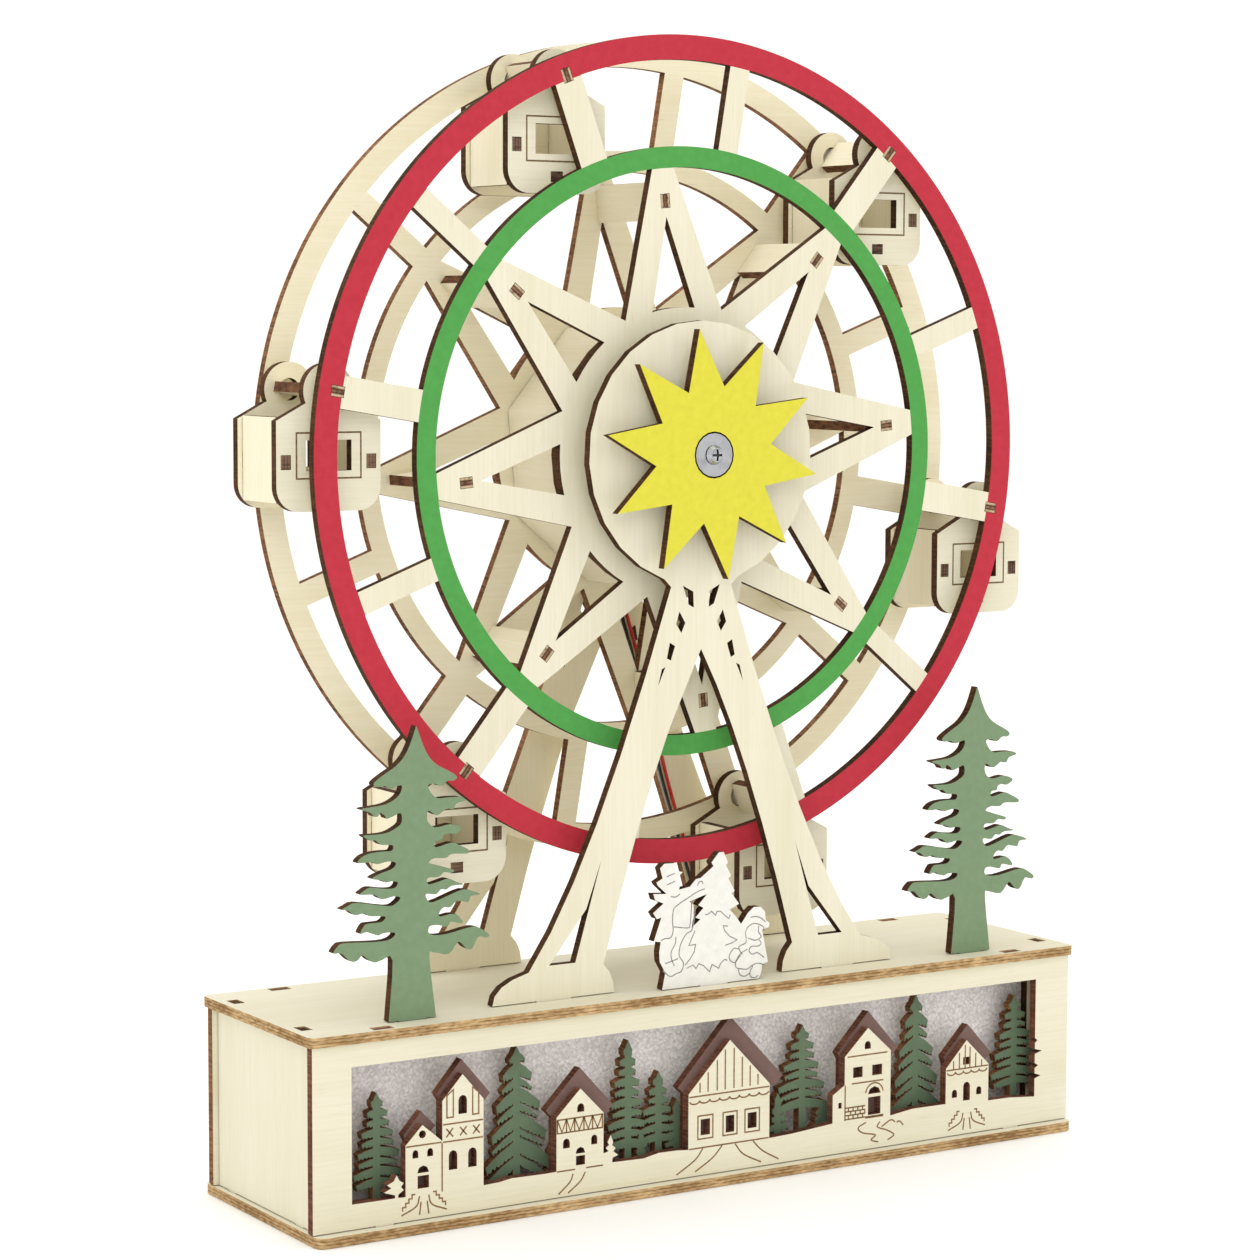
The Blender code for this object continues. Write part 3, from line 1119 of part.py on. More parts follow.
def make_motor():
    """The gear motor in the drum, screwed to the rear support by its flange."""
    back = REAR_SUPPORT_Y - FIT_GAP
    flange = back - MOTOR_FLANGE_THICKNESS
    front = MOTOR_FRONT_Y
    boss = front - MOTOR_BOSS_LENGTH
    profile = [(0, boss), (MOTOR_BOSS_RADIUS, boss), (MOTOR_BOSS_RADIUS, front),
               (MOTOR_RADIUS - MOTOR_CHAMFER, front), (MOTOR_RADIUS, front + MOTOR_CHAMFER),
               (MOTOR_RADIUS, flange), (MOTOR_FLANGE_RADIUS, flange),
               (MOTOR_FLANGE_RADIUS, back), (0, back)]
    motor = add_part("gear_motor", rod_mesh(profile, HIDDEN_SIDES), STEEL, (0, 0, HUB_Z))
    hole = MOTOR_SCREW_RADIUS + FIT_GAP
    seat = flange - FIT_GAP
    head = seat - MOTOR_SCREW_HEAD_HEIGHT
    tip = REAR_SUPPORT_Y + PLY
    for side, (x, z) in zip(("right", "left"), motor_screw_places()):
        near = flange - CUTTER_OVERRUN
        far = back + CUTTER_OVERRUN
        drill = rod_mesh([(0, near), (hole, near), (hole, far), (0, far)], SMALL_HOLE_SIDES)
        cut(motor, drill, f"motor_{side}_screw_cutter", (x, 0, HUB_Z + z))
        profile = [(0, head), (MOTOR_SCREW_HEAD_RADIUS, head), (MOTOR_SCREW_HEAD_RADIUS, seat),
                   (MOTOR_SCREW_RADIUS, seat), (MOTOR_SCREW_RADIUS, tip), (0, tip)]
        screw = rod_mesh(profile, SMALL_HOLE_SIDES)
        add_part(f"motor_screw_{side}", screw, STEEL, (x, 0, HUB_Z + z))


def make_battery():
    """Two cells in an open holder, which stands on a lift-out hatch in the bottom panel."""
    finger_x = HOLDER_X - HATCH_LENGTH / 2 + HATCH_MARGIN / 2
    finger_hole = circle(finger_x, HOLDER_Y, FINGER_HOLE_RADIUS, HIDDEN_SIDES)
    add_part("battery_hatch", sheet_mesh([hatch_rectangle(), finger_hole], PLY, FLAT), BIRCH)

    low = PLY + FIT_GAP
    half_length = HOLDER_LENGTH / 2
    half_width = HOLDER_WIDTH / 2
    tray = box_mesh((-half_length, -half_width, 0), (half_length, half_width, HOLDER_HEIGHT))
    holder = add_part("battery_holder", tray, BLACK_PLASTIC, (HOLDER_X, HOLDER_Y, low))
    inside = box_mesh((-half_length + HOLDER_WALL, -half_width + HOLDER_WALL, HOLDER_WALL),
                      (half_length - HOLDER_WALL, half_width - HOLDER_WALL, HOLDER_HEIGHT + CUTTER_OVERRUN))
    cut(holder, inside, "holder_inside_cutter", (HOLDER_X, HOLDER_Y, low))

    end = CELL_LENGTH / 2
    cell_z = low + HOLDER_WALL + FIT_GAP + CELL_RADIUS
    profile = [(0, -end), (CELL_RADIUS, -end), (CELL_RADIUS, end), (CELL_BUTTON_RADIUS, end),
               (CELL_BUTTON_RADIUS, end + CELL_BUTTON_LENGTH), (0, end + CELL_BUTTON_LENGTH)]
    for index in range(CELL_COUNT):
        y = HOLDER_Y + (index - (CELL_COUNT - 1) / 2) * (2 * CELL_RADIUS + 2 * FIT_GAP)
        cell = rod_mesh(profile, SCREW_SIDES, "X")
        add_part(f"battery_cell_{index + 1}", cell, CELL_GREY, (HOLDER_X, y, cell_z))


def make_switch():
    """A slide switch behind the back wall, with its knob standing through the slot."""
    back = BACK_WALL_Y - FIT_GAP
    centre = SWITCH_X + SWITCH_TRAVEL / 2
    low = (centre - SWITCH_LENGTH / 2, back - SWITCH_DEPTH, SWITCH_Z - SWITCH_HEIGHT / 2)
    high = (centre + SWITCH_LENGTH / 2, back, SWITCH_Z + SWITCH_HEIGHT / 2)
    body = add_part("power_switch_body", box_mesh(low, high), STEEL)
    half = (KNOB_WIDTH + SWITCH_TRAVEL) / 2 + FIT_GAP
    track = box_mesh((centre - half, back - KNOB_SEAT - FIT_GAP, SWITCH_Z - KNOB_HEIGHT / 2 - FIT_GAP),
                     (centre + half, back + CUTTER_OVERRUN, SWITCH_Z + KNOB_HEIGHT / 2 + FIT_GAP))
    cut(body, track, "switch_track_cutter")
    slide = add_axis("power_switch_slide", (SWITCH_X, BACK_WALL_Y, SWITCH_Z))
    knob = box_mesh((-KNOB_WIDTH / 2, back - KNOB_SEAT - BACK_WALL_Y, -KNOB_HEIGHT / 2),
                    (KNOB_WIDTH / 2, PLY + KNOB_STAND_OUT, KNOB_HEIGHT / 2))
    add_part("power_switch_knob", knob, BLACK_PLASTIC, (SWITCH_X, BACK_WALL_Y, SWITCH_Z), slide)


def smooth_route(points, spacing):
    """Evenly spaced points on a smooth curve through the route's own points."""
    route = [Vector(p) for p in points]
    route = [2 * route[0] - route[1]] + route + [2 * route[-1] - route[-2]]
    fine = []
    for a, b, c, d in zip(route, route[1:], route[2:], route[3:]):
        for step in range(CURVE_STEPS):
            t = step / CURVE_STEPS
            fine.append(0.5 * (2 * b + (c - a) * t + (2 * a - 5 * b + 4 * c - d) * t ** 2
                               + (3 * b - a - 3 * c + d) * t ** 3))
    fine.append(route[-2])
    kept = [fine[0]]
    for point in fine[1:-1]:
        clear = (point - kept[-1]).length >= spacing
        if clear and (point - fine[-1]).length >= spacing * WIRE_END_SHARE:
            kept.append(point)
    return kept + [fine[-1]]


def wire_part(name, points, look):
    """A round insulated wire through the route's points."""
    curve = bpy.data.curves.new(name, "CURVE")
    curve.dimensions = "3D"
    curve.bevel_depth = WIRE_RADIUS * MM
    curve.bevel_resolution = 2
    curve.use_fill_caps = True
    route = smooth_route(points, WIRE_STEP)
    spline = curve.splines.new("POLY")
    spline.points.add(len(route) - 1)
    for point, place in zip(spline.points, route):
        point.co = (place.x * MM, place.y * MM, place.z * MM, 1)
    guide = bpy.data.objects.new(name, curve)
    bpy.context.scene.collection.objects.link(guide)
    bpy.context.view_layer.update()
    graph = bpy.context.evaluated_depsgraph_get()
    mesh = bpy.data.meshes.new_from_object(guide.evaluated_get(graph))
    bpy.data.objects.remove(guide)
    shape = bmesh.new()
    shape.from_mesh(mesh)
    bmesh.ops.remove_doubles(shape, verts=shape.verts, dist=WELD)
    bmesh.ops.recalc_face_normals(shape, faces=shape.faces)
    add_part(name, shape, look)


def make_wires():
    """The motor's two wires down the right leg and into the base, and the switch's lead."""
    start_z = HUB_Z - MOTOR_FLANGE_RADIUS - FIT_GAP
    flange_mid = REAR_SUPPORT_Y - FIT_GAP - MOTOR_FLANGE_THICKNESS / 2
    switch_back = BACK_WALL_Y - FIT_GAP - SWITCH_DEPTH - FIT_GAP
    holder_end = HOLDER_X + HOLDER_LENGTH / 2 + FIT_GAP
    for name, side, look in (("wire_black", -1, WIRE_BLACK), ("wire_red", 1, WIRE_RED)):
        shift = side * WIRE_SPACING / 2
        points = [(shift, flange_mid, start_z)]
        points += [(x + shift, WIRE_Y, z) for x, z in WIRE_ROUTE]
        points += [(WIRE_HOLE_X + shift, y, z) for y, z in WIRE_PLUNGE]
        if side < 0:
            points += BLACK_WIRE_INSIDE
            points.append((holder_end, HOLDER_Y + WIRE_POST_SPREAD, WIRE_POST_HEIGHT))
        else:
            points += RED_WIRE_INSIDE
            points.append((SWITCH_X, switch_back, SWITCH_Z + SWITCH_POST_SPREAD))
        wire_part(name, points, look)
    lead = [(holder_end, HOLDER_Y - WIRE_POST_SPREAD, WIRE_POST_HEIGHT)]
    lead += SWITCH_LEAD_INSIDE
    lead.append((SWITCH_X, switch_back, SWITCH_Z - SWITCH_POST_SPREAD))
    wire_part("switch_lead", lead, WIRE_RED)


def new_collection(name):
    collection = bpy.data.collections.new(name)
    bpy.context.scene.collection.children.link(collection)
    return collection


for leftover in list(bpy.data.objects):
    bpy.data.objects.remove(leftover)

PARTS = new_collection("ferris_wheel")
CUTTERS = new_collection("ferris_wheel_cutters")

make_base()
make_scene_layers()
make_supports()
make_star()
make_trees()
make_snowman()
wheel_axis = make_wheel()
make_axle(wheel_axis)
make_cabins(wheel_axis)
make_motor()
make_battery()
make_switch()
make_wires()
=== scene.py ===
"""Looks of the plywood ferris wheel: birch faces, burnt laser-cut edges, paint and engraving.

Sizes are in millimetres and MM turns them into metres. X runs along the base, the front
faces -Y and Z is up, as in the frame.
"""
import math
import random

import bmesh
import bpy
from mathutils import Matrix, Vector


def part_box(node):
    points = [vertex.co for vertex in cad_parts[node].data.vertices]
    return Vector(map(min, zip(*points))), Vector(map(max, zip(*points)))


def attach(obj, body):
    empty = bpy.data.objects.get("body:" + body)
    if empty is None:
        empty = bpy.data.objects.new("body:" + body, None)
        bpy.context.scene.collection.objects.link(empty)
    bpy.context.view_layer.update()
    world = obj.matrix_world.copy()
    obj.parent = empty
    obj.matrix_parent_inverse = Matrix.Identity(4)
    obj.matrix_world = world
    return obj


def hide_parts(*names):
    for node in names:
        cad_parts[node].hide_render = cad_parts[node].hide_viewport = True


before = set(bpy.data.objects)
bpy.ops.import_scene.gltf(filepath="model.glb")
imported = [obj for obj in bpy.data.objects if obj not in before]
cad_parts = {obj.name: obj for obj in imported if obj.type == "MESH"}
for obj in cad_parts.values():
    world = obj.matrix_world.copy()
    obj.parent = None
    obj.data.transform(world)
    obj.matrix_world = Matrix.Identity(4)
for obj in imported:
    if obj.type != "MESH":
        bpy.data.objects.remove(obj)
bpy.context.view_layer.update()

MM = 0.001

# Camera, as worked out from the photograph
CAMERA_PLACE = (-556.1, -869.6, 261.1)
CAMERA_TARGET = (-12.88, -4.78, 166.5)
CAMERA_ROLL = 0.2
CAMERA_LENS = 96.55
CAMERA_SENSOR = 36.0

# Studio, in metres: the surround, the floor, and each light's name, place, size, power and tint
WORLD_COLOUR = (1.0, 0.975, 0.93)
WORLD_STRENGTH = 1.10
FLOOR_SIZE = 6.0
FLOOR_DROP = 0.0002
FLOOR_DARK = (0.975, 0.975, 0.975)
FLOOR_LIGHT = (0.99, 0.99, 0.99)
LIGHT_TARGET = (0, 0, 0.17)
LIGHTS = (
    ("key_light", (-1.1, -1.2, 1.2), (1.0, 1.0), 6, (0.94, 0.97, 1.0)),
    ("fill_light", (1.4, -1.0, 0.7), (1.2, 1.2), 2, (1, 1, 1)),
    ("top_light", (0.1, 0.3, 1.7), (1.4, 1.0), 6.5, (1, 1, 1)),
)

# The wheel's painted rings
HUB_HEIGHT = 220.3
RED_RING_INNER = 117.15
GREEN_RING = (85.35, 91.7)

# Colours in linear light. Birch and the glitter sheet each have a pale and a deep one
BIRCH = ((0.745, 0.715, 0.580), (0.665, 0.620, 0.460))
# Lighter birch for the inner and rear parts: painted light that makes up for the shade between the plates
# and inside the cabins
PAINTED_LIGHT_BIRCH = ((0.845, 0.795, 0.625), (0.760, 0.690, 0.490))
BIRCH_PORE = (0.460, 0.320, 0.170)
PLY_EDGES = {
    "charred": ((0.030, 0.013, 0.005), (0.110, 0.052, 0.022)),
    "scorched": ((0.075, 0.031, 0.013), (0.330, 0.165, 0.075)),
    "dark tabs": ((0.045, 0.022, 0.015), (0.210, 0.130, 0.086)),
    "reddish": ((0.075, 0.028, 0.017), (0.260, 0.115, 0.070)),
    "sawn": ((0.210, 0.115, 0.045), (0.600, 0.420, 0.215)),
}
TAB_DARK = (0.070, 0.032, 0.019)
TAB_MIDDLE = (0.270, 0.145, 0.085)
BOARD_EDGE = (0.200, 0.092, 0.046)
TAB_LIGHT = (0.480, 0.375, 0.235)
RED_PAINT = (0.448, 0.018, 0.040)
GREEN_PAINT = (0.064, 0.305, 0.060)
YELLOW_PAINT = (0.630, 0.590, 0.044)
SAGE_PAINT = (0.172, 0.256, 0.148)
FIR_PAINT = (0.105, 0.160, 0.096)
ROOF_PAINT = (0.165, 0.098, 0.086)
WHITE_PAINT = (0.755, 0.750, 0.715)
SKY = ((0.935, 0.910, 0.905), (0.635, 0.600, 0.612))
SCORCH = (0.150, 0.085, 0.036)
CABIN_SCORCH = (0.110, 0.070, 0.030)
PENCIL = (0.180, 0.175, 0.170)
STEEL = (0.460, 0.475, 0.510)
# Near black for the screw head's recess: painted shade
PAINTED_RECESS_SHADE = (0.045, 0.045, 0.050)
DARK_STEEL = (0.420, 0.415, 0.400)
BLACK_PLASTIC = (0.025, 0.025, 0.027)
CELL_JACKET = (0.30, 0.31, 0.33)
BLACK_INSULATION = (0.012, 0.012, 0.013)
RED_INSULATION = (0.52, 0.015, 0.012)

# The boards across the wheel: the first one's angle, and what separates planks from bars
WHEEL_PHASE = 50.5
PLANK_PITCH = 45.0
BAR_PITCH = 60.0
BAR_MIN_RADIUS = 105.0
PLY = 3.0
STAR_POINTS = 8
CABIN_COUNT = 6
CABIN_NUMBERS = range(1, CABIN_COUNT + 1)

# Wood and paint are matt, the burnt edges more so
FACE_ROUGHNESS = 0.62
EDGE_ROUGHNESS = 0.88
WOOD_SPECULAR = 0.14
WOOD_BUMP = 0.12
WOOD_BUMP_DEPTH = 0.15
PAINT_COVER = 0.985

# Noise along and across the grain in cycles a metre, and how the noises are mixed
FIBRE_SCALE = (45, 1400)
BAND_SCALE = (6, 70)
PORE_SCALE = (170, 2600)
FIBRE_SHARE = 0.45
GRAIN_RANGE = (0.34, 0.74)
PORE_RANGE = (0.66, 0.80)
PORE_STRENGTH = 0.18
EDGE_STREAKS = (200, 1900)
SAWN_STREAKS = (1500, 420)
EDGE_STRETCHES = (60, 60, 60)
EDGE_RANGE = (0.40, 0.70)
GLUE_LINE = 1 / 6
GLUE_LINE_EDGE = (0.025, 0.075)
GLUE_LINE_STRENGTH = 0.14
STREAK_STRENGTH = 0.6
STRETCH_STRENGTH = 0.5

# How squarely a face has to look along an axis to count as looking that way
FACING = 0.7

# A garden fir's branches from the top down, after places in the photo: each from its
# upper root round its tip to its lower one, as distances from the trunk and heights above the base
GARDEN_FIR_TIP = (1.4, 84.7)
GARDEN_FIR_RIGHT = (
    ((2.1, 83.1), (3.5, 79.5), (5.3, 76.0), (8.0, 73.2), (13.2, 70.4), (14.7, 69.0), (13.6, 68.1),
     (11.7, 68.2), (10.3, 67.2), (9.1, 66.9), (7.5, 67.6), (5.3, 67.4)),
    ((6.0, 65.4), (8.2, 63.4), (11.4, 63.4), (15.9, 63.2), (17.5, 62.2), (14.6, 61.4), (13.4, 59.8),
     (11.4, 60.2), (9.4, 59.0), (7.8, 58.6), (5.2, 60.0)),
    ((5.0, 57.2), (7.5, 55.0), (12.7, 55.6), (16.2, 54.2), (13.9, 52.6), (12.3, 53.0), (10.3, 52.6),
     (9.7, 51.2), (7.7, 50.9)),
    ((7.7, 49.2), (12.9, 50.2), (15.6, 49.2), (18.6, 47.6), (18.1, 46.6), (13.0, 46.9), (11.1, 45.9),
     (7.3, 46.1), (5.5, 45.2)),
    ((5.9, 44.7), (9.3, 43.6), (13.6, 42.2), (12.9, 41.4), (10.5, 41.8), (8.6, 40.6), (5.1, 40.6)),
    ((5.3, 38.7), (8.6, 39.2), (11.8, 39.8), (14.6, 38.6), (16.9, 37.7), (13.0, 37.6), (11.1, 36.7),
     (9.4, 36.9), (7.8, 35.6), (4.6, 36.0)),
    ((4.8, 34.6), (6.7, 33.4), (14.6, 35.8), (17.9, 36.1), (22.4, 34.4), (19.3, 34.1), (18.3, 32.4),
     (14.7, 33.1), (12.5, 31.4), (10.4, 31.6), (9.0, 30.4)),
    ((9.1, 29.0), (14.1, 29.4), (16.6, 26.4), (12.4, 27.2), (11.4, 25.8), (8.4, 26.6), (5.6, 26.4)),
    ((5.8, 24.2), (10.8, 23.7), (19.7, 25.1), (23.1, 23.9), (25.3, 22.2), (24.4, 21.4), (21.7, 21.9),
     (19.6, 18.6), (17.4, 19.2), (15.1, 21.1), (11.9, 17.8), (6.9, 18.8), (5.6, 17.4)),
)
GARDEN_FIR_LEFT = (
    ((0.3, 80.1), (2.3, 76.4), (5.1, 73.6), (8.8, 71.5), (11.5, 69.8), (12.3, 68.8), (11.2, 68.0),
     (8.7, 68.1), (6.9, 67.2), (3.4, 68.0)),
    ((3.7, 65.8), (5.7, 64.0), (8.8, 62.8), (12.7, 62.4), (16.4, 62.0), (13.3, 60.8), (12.2, 59.6),
     (10.9, 59.6), (10.3, 60.6), (8.8, 59.7), (8.1, 58.7), (6.2, 59.2), (3.6, 60.0)),
    ((3.4, 57.2), (5.4, 55.7), (8.3, 54.6), (12.2, 54.4), (15.7, 54.4), (13.2, 52.8), (11.8, 52.8),
     (10.0, 51.4), (7.8, 51.2), (6.1, 50.8)),
    ((6.6, 49.4), (9.5, 49.4), (13.3, 49.2), (16.0, 48.4), (17.5, 46.7), (13.1, 46.7), (11.3, 45.9),
     (7.8, 46.4), (5.2, 45.8)),
    ((6.4, 44.2), (10.1, 43.2), (13.0, 41.9), (10.0, 41.2), (8.5, 40.4), (6.5, 40.6), (4.6, 40.1)),
    ((5.7, 38.6), (9.2, 38.7), (13.5, 39.4), (15.6, 38.6), (16.6, 37.6), (12.2, 37.2), (9.7, 35.7),
     (6.0, 36.2), (3.8, 35.7)),
    ((5.2, 34.2), (8.0, 33.6), (17.8, 35.4), (20.9, 34.6), (22.6, 33.8), (20.5, 33.4), (18.3, 31.9),
     (15.5, 32.2), (13.6, 31.2), (10.3, 30.9), (8.6, 30.5)),
    ((9.9, 29.2), (14.2, 29.1), (15.5, 28.6), (16.7, 26.4), (14.5, 26.7), (11.1, 25.4), (9.4, 25.9),
     (5.6, 25.7)),
    ((6.6, 24.2), (10.6, 23.6), (21.5, 24.2), (23.8, 23.6), (25.3, 21.6), (22.8, 21.4), (20.6, 19.4),
     (19.1, 18.6), (17.5, 18.9), (16.1, 20.2), (14.0, 18.6), (12.0, 17.7), (9.7, 18.2), (6.4, 17.8)),
)
GARDEN_FIR_HEIGHT = 85.4
GARDEN_FIR_FOOT = 7.7
GARDEN_FIR_TAB = 4.5

# The window's firs: trunk, top, lowest branch, reach left and right, branch pitch and droop
SLENDER = 0.22
DROOPING = 0.62
WINDOW_FIRS = (
    (-112.2, 40.2, 13.5, 8.0, 9.2, 3.0, SLENDER),
    (-65.9, 48.4, 8.5, 11.2, 13.0, 4.4, DROOPING),
    (-53.0, 18.2, 9.5, 3.6, 2.0, 2.8, SLENDER),
    (-27.3, 45.9, 14.0, 8.2, 7.0, 3.2, SLENDER),
    (-22.6, 17.4, 9.5, 2.4, 2.4, 2.2, SLENDER),
    (-16.4, 35.2, 14.5, 7.6, 6.4, 2.9, SLENDER),
    (-9.8, 26.0, 9.5, 5.2, 3.8, 2.7, SLENDER),
    (27.1, 23.3, 9.8, 3.4, 5.0, 2.5, SLENDER),
    (36.3, 43.6, 18.0, 10.6, 9.8, 3.2, SLENDER),
    (44.3, 19.3, 10.5, 4.2, 3.8, 2.2, DROOPING),
    (80.0, 48.6, 12.0, 9.8, 10.6, 4.4, DROOPING),
    (119.4, 44.2, 15.5, 9.8, 11.4, 3.1, SLENDER),
)
WINDOW_STRIP_TOP = 9.0
WINDOW_FIR_TRUNK = 1.3

# Shapes of a window fir's branches, as shares of the branch pitch, the reach or the trunk
FIR_TAPER = 0.62
LONG_BRANCH = (0.95, 1.05)
SHORT_BRANCH = (0.80, 0.92)
TIP_DROP = 0.9
BRANCH_ROOT = 0.9
BOW_PLACE = 0.45
BOW_DROP = 0.42
BOW_RISE = 0.05
NEEDLE_PITCH = 1.5
FIRST_NEEDLE = 0.4
UNDERSIDE_NEAR = 0.24
UNDERSIDE_RISE = 0.14
NEEDLE_LIFT = (0.18, 0.36)
NEEDLE_LIFT_NEAR = 0.4
NEEDLE_LEAN = 0.35
NEXT_ROOT_GAP = 0.16

# Parts of one piece that overlap differ in depth by this, and closer points than this are one
OVERLAP_STEP = 0.03
WELD_DISTANCE = 0.002

# The wheel's two plates: rim, ring, spokes and the star, and the boards across them
RIM_OUTER = 124.68
RIM_INNER = 117.3
RING_OUTER = 91.7
RING_INNER = 85.5
CABIN_SPOKE_WIDTH = 9.4
PLAIN_SPOKE_WIDTH = 7.0
STAR_TIP_HALF_WIDTH = 3.8
STAR_NOTCH_RADIUS = 44.9
TIP_WINDOW_APEX = 71.0
TIP_WINDOW_FOOT = 43.8
TIP_WINDOW_HALF_WIDTH = 7.6
AXLE_BORE = 5.0
MOTOR_HOLE = 16.0
BAR_RADIUS = 118.6
BAR_WIDTH = 10.0
BAR_NECK = 5.2
PLANK_RADIUS = 75.7
PLANK_WIDTH = 11.4
BOARD_TAB = 4.0
BOARD_GAP = 0.3
RIM_STEPS = 240
SPOKE_GAP_STEPS = 16
STAR_GAP_STEPS = 24
TIP_WINDOW_STEPS = 4
HUB_HOLE_STEPS = 40

# A cabin's plates about the middle of its bar
EAR_RADIUS = 8.0
NECK_DROP = 3.4
BAR_HOLE = 3.3
CABIN_HALF_WIDTH = 16.6
SHOULDER_DROP = 8.3
CABIN_DROP = 34.2
CABIN_CORNER = 7.0
WINDOW_SIZE = (14.5, 8.8)
FRAME_SIZE = (20.5, 13.0)
WINDOW_DROP = 18.3
WALL_SLOT = (13.6, 20.1)
FLOOR_SLOT_DROP = 29.3
SLOT_LONG = 4.2
SLOT_SHORT = 3.2
EAR_STEPS = 28
CORNER_STEPS = 10
BAR_HOLE_STEPS = 36

# The screw's recess, painted dark as shade: how wide it reaches and how far below the head's front it
# starts
RECESS_REACH = 1.75
RECESS_START = 0.30

# Engraving
LINE_WIDTH = 0.46
CABIN_LINE_WIDTH = 0.50
FINE_LINE_WIDTH = 0.34
LINE_PROUD = 0.03
LINE_SUNK = 0.20


def add_node(tree, kind, inputs=None, **settings):
    """A shader node with its settings, and its inputs linked or set."""
    item = tree.nodes.new(kind)
    for key, value in settings.items():
        setattr(item, key, value)
    for key, value in (inputs or {}).items():
        if isinstance(value, bpy.types.NodeSocket):
            tree.links.new(value, item.inputs[key])
        else:
            item.inputs[key].default_value = value
    return item


def calculate(tree, operation, first, second=0.0):
    return add_node(tree, "ShaderNodeMath", {0: first, 1: second}, operation=operation).outputs[0]


def add(tree, first, second):
    return calculate(tree, "ADD", first, second)


def subtract(tree, first, second):
    return calculate(tree, "SUBTRACT", first, second)


def multiply(tree, first, second):
    return calculate(tree, "MULTIPLY", first, second)


def component(tree, vector, axis):
    """A vector's value along one axis."""
    return add_node(tree, "ShaderNodeSeparateXYZ", {0: vector}).outputs[axis]


def colour(value):
    return (*value, 1.0)


def blend(tree, factor, first, second):
    """One colour turning into another as the factor goes from 0 to 1."""
    first, second = (colour(side) if isinstance(side, tuple) else side for side in (first, second))
    return add_node(tree, "ShaderNodeMix", {0: factor, 6: first, 7: second}, data_type="RGBA").outputs[2]


def ramp(tree, factor, low, high):
    """A factor stretched so that low becomes 0 and high becomes 1."""
    inputs = {"Value": factor, "From Min": low, "From Max": high}
    return add_node(tree, "ShaderNodeMapRange", inputs).outputs[0]


def noise(tree, place, scale, detail=2.0, offset=(0, 0, 0)):
    """Noise with its own scale along each axis, in cycles a metre."""
    mapping = add_node(tree, "ShaderNodeMapping", {"Vector": place, "Scale": scale, "Location": offset})
    inputs = {"Vector": mapping.outputs[0], "Scale": 1.0, "Detail": detail}
    return add_node(tree, "ShaderNodeTexNoise", inputs).outputs["Fac"]


def new_material(name):
    """A material, its nodes and shader, and the object's own place and normal, which turn with it."""
    material = bpy.data.materials.new(name)
    material.use_nodes = True
    tree = material.node_tree
    source = add_node(tree, "ShaderNodeTexCoord")
    return material, tree, tree.nodes["Principled BSDF"], source.outputs["Object"], source.outputs["Normal"]


def along(axis, value, others):
    """A vector with one value along an axis and another along the rest."""
    return tuple(value if letter == axis else others for letter in "XYZ")


def birch_face(tree, place, grain, seed, inner=False):
    """Colour and height of a sanded birch face, its grain along one axis; an inner face gets the lighter
    birch, painted light against its shade.
    """
    pale, deep = PAINTED_LIGHT_BIRCH if inner else BIRCH
    offset = (seed * 0.731, seed * 1.377, seed * 2.113)
    fibres = noise(tree, place, along(grain, *FIBRE_SCALE), 3.0, offset)
    bands = noise(tree, place, along(grain, *BAND_SCALE), 2.0, offset)
    pores = noise(tree, place, along(grain, *PORE_SCALE), 1.0, offset)
    tone = add(tree, multiply(tree, fibres, FIBRE_SHARE), multiply(tree, bands, 1 - FIBRE_SHARE))
    face = blend(tree, ramp(tree, tone, *GRAIN_RANGE), pale, deep)
    specks = multiply(tree, ramp(tree, pores, *PORE_RANGE), PORE_STRENGTH)
    face = blend(tree, specks, face, BIRCH_PORE)
    return face, subtract(tree, fibres, specks)


def ply_lines(tree, from_middle):
    """1 on a three-ply board's two glue lines, going by how far a point is from its middle."""
    off_line = calculate(tree, "ABSOLUTE", subtract(tree, from_middle, GLUE_LINE))
    return subtract(tree, 1.0, ramp(tree, off_line, *GLUE_LINE_EDGE))


def cut_edge(tree, place, axis, low, thickness, seed, burn="charred", level=None):
    """Colour of a cut edge: plies and their glue lines, with fine streaks across them."""
    dark, light = PLY_EDGES[burn]
    offset = (seed * 1.9, seed * 0.7, seed * 1.3)
    if burn == "sawn":
        streaks = noise(tree, place, along(axis, *SAWN_STREAKS), 4.0, offset)
    else:
        streaks = noise(tree, place, along(axis, *EDGE_STREAKS), 3.0, offset)
    stretches = noise(tree, place, EDGE_STRETCHES, 2.0, offset)
    if level is None:
        level = component(tree, place, axis)
    depth = calculate(tree, "DIVIDE", subtract(tree, level, low), thickness)
    from_middle = calculate(tree, "ABSOLUTE", subtract(tree, depth, 0.5))
    tone = add(tree, multiply(tree, streaks, STREAK_STRENGTH), multiply(tree, stretches, STRETCH_STRENGTH))
    tone = subtract(tree, tone, multiply(tree, ply_lines(tree, from_middle), GLUE_LINE_STRENGTH))
    return blend(tree, ramp(tree, tone, *EDGE_RANGE), dark, light)


def faces_along(tree, normal, axis):
    """1 where a face looks along an axis, either way, and 0 on the edges."""
    turned = calculate(tree, "ABSOLUTE", component(tree, normal, axis))
    return calculate(tree, "GREATER_THAN", turned, FACING)


def faces_front(tree, normal):
    """1 where a face looks to the front."""
    return calculate(tree, "LESS_THAN", component(tree, normal, "Y"), -FACING)


def add_bump(tree, shader, height, strength, depth):
    """Fine relief on a surface, its depth in millimetres."""
    inputs = {"Height": height, "Strength": strength, "Distance": depth * MM}
    tree.links.new(add_node(tree, "ShaderNodeBump", inputs).outputs[0], shader.inputs["Normal"])


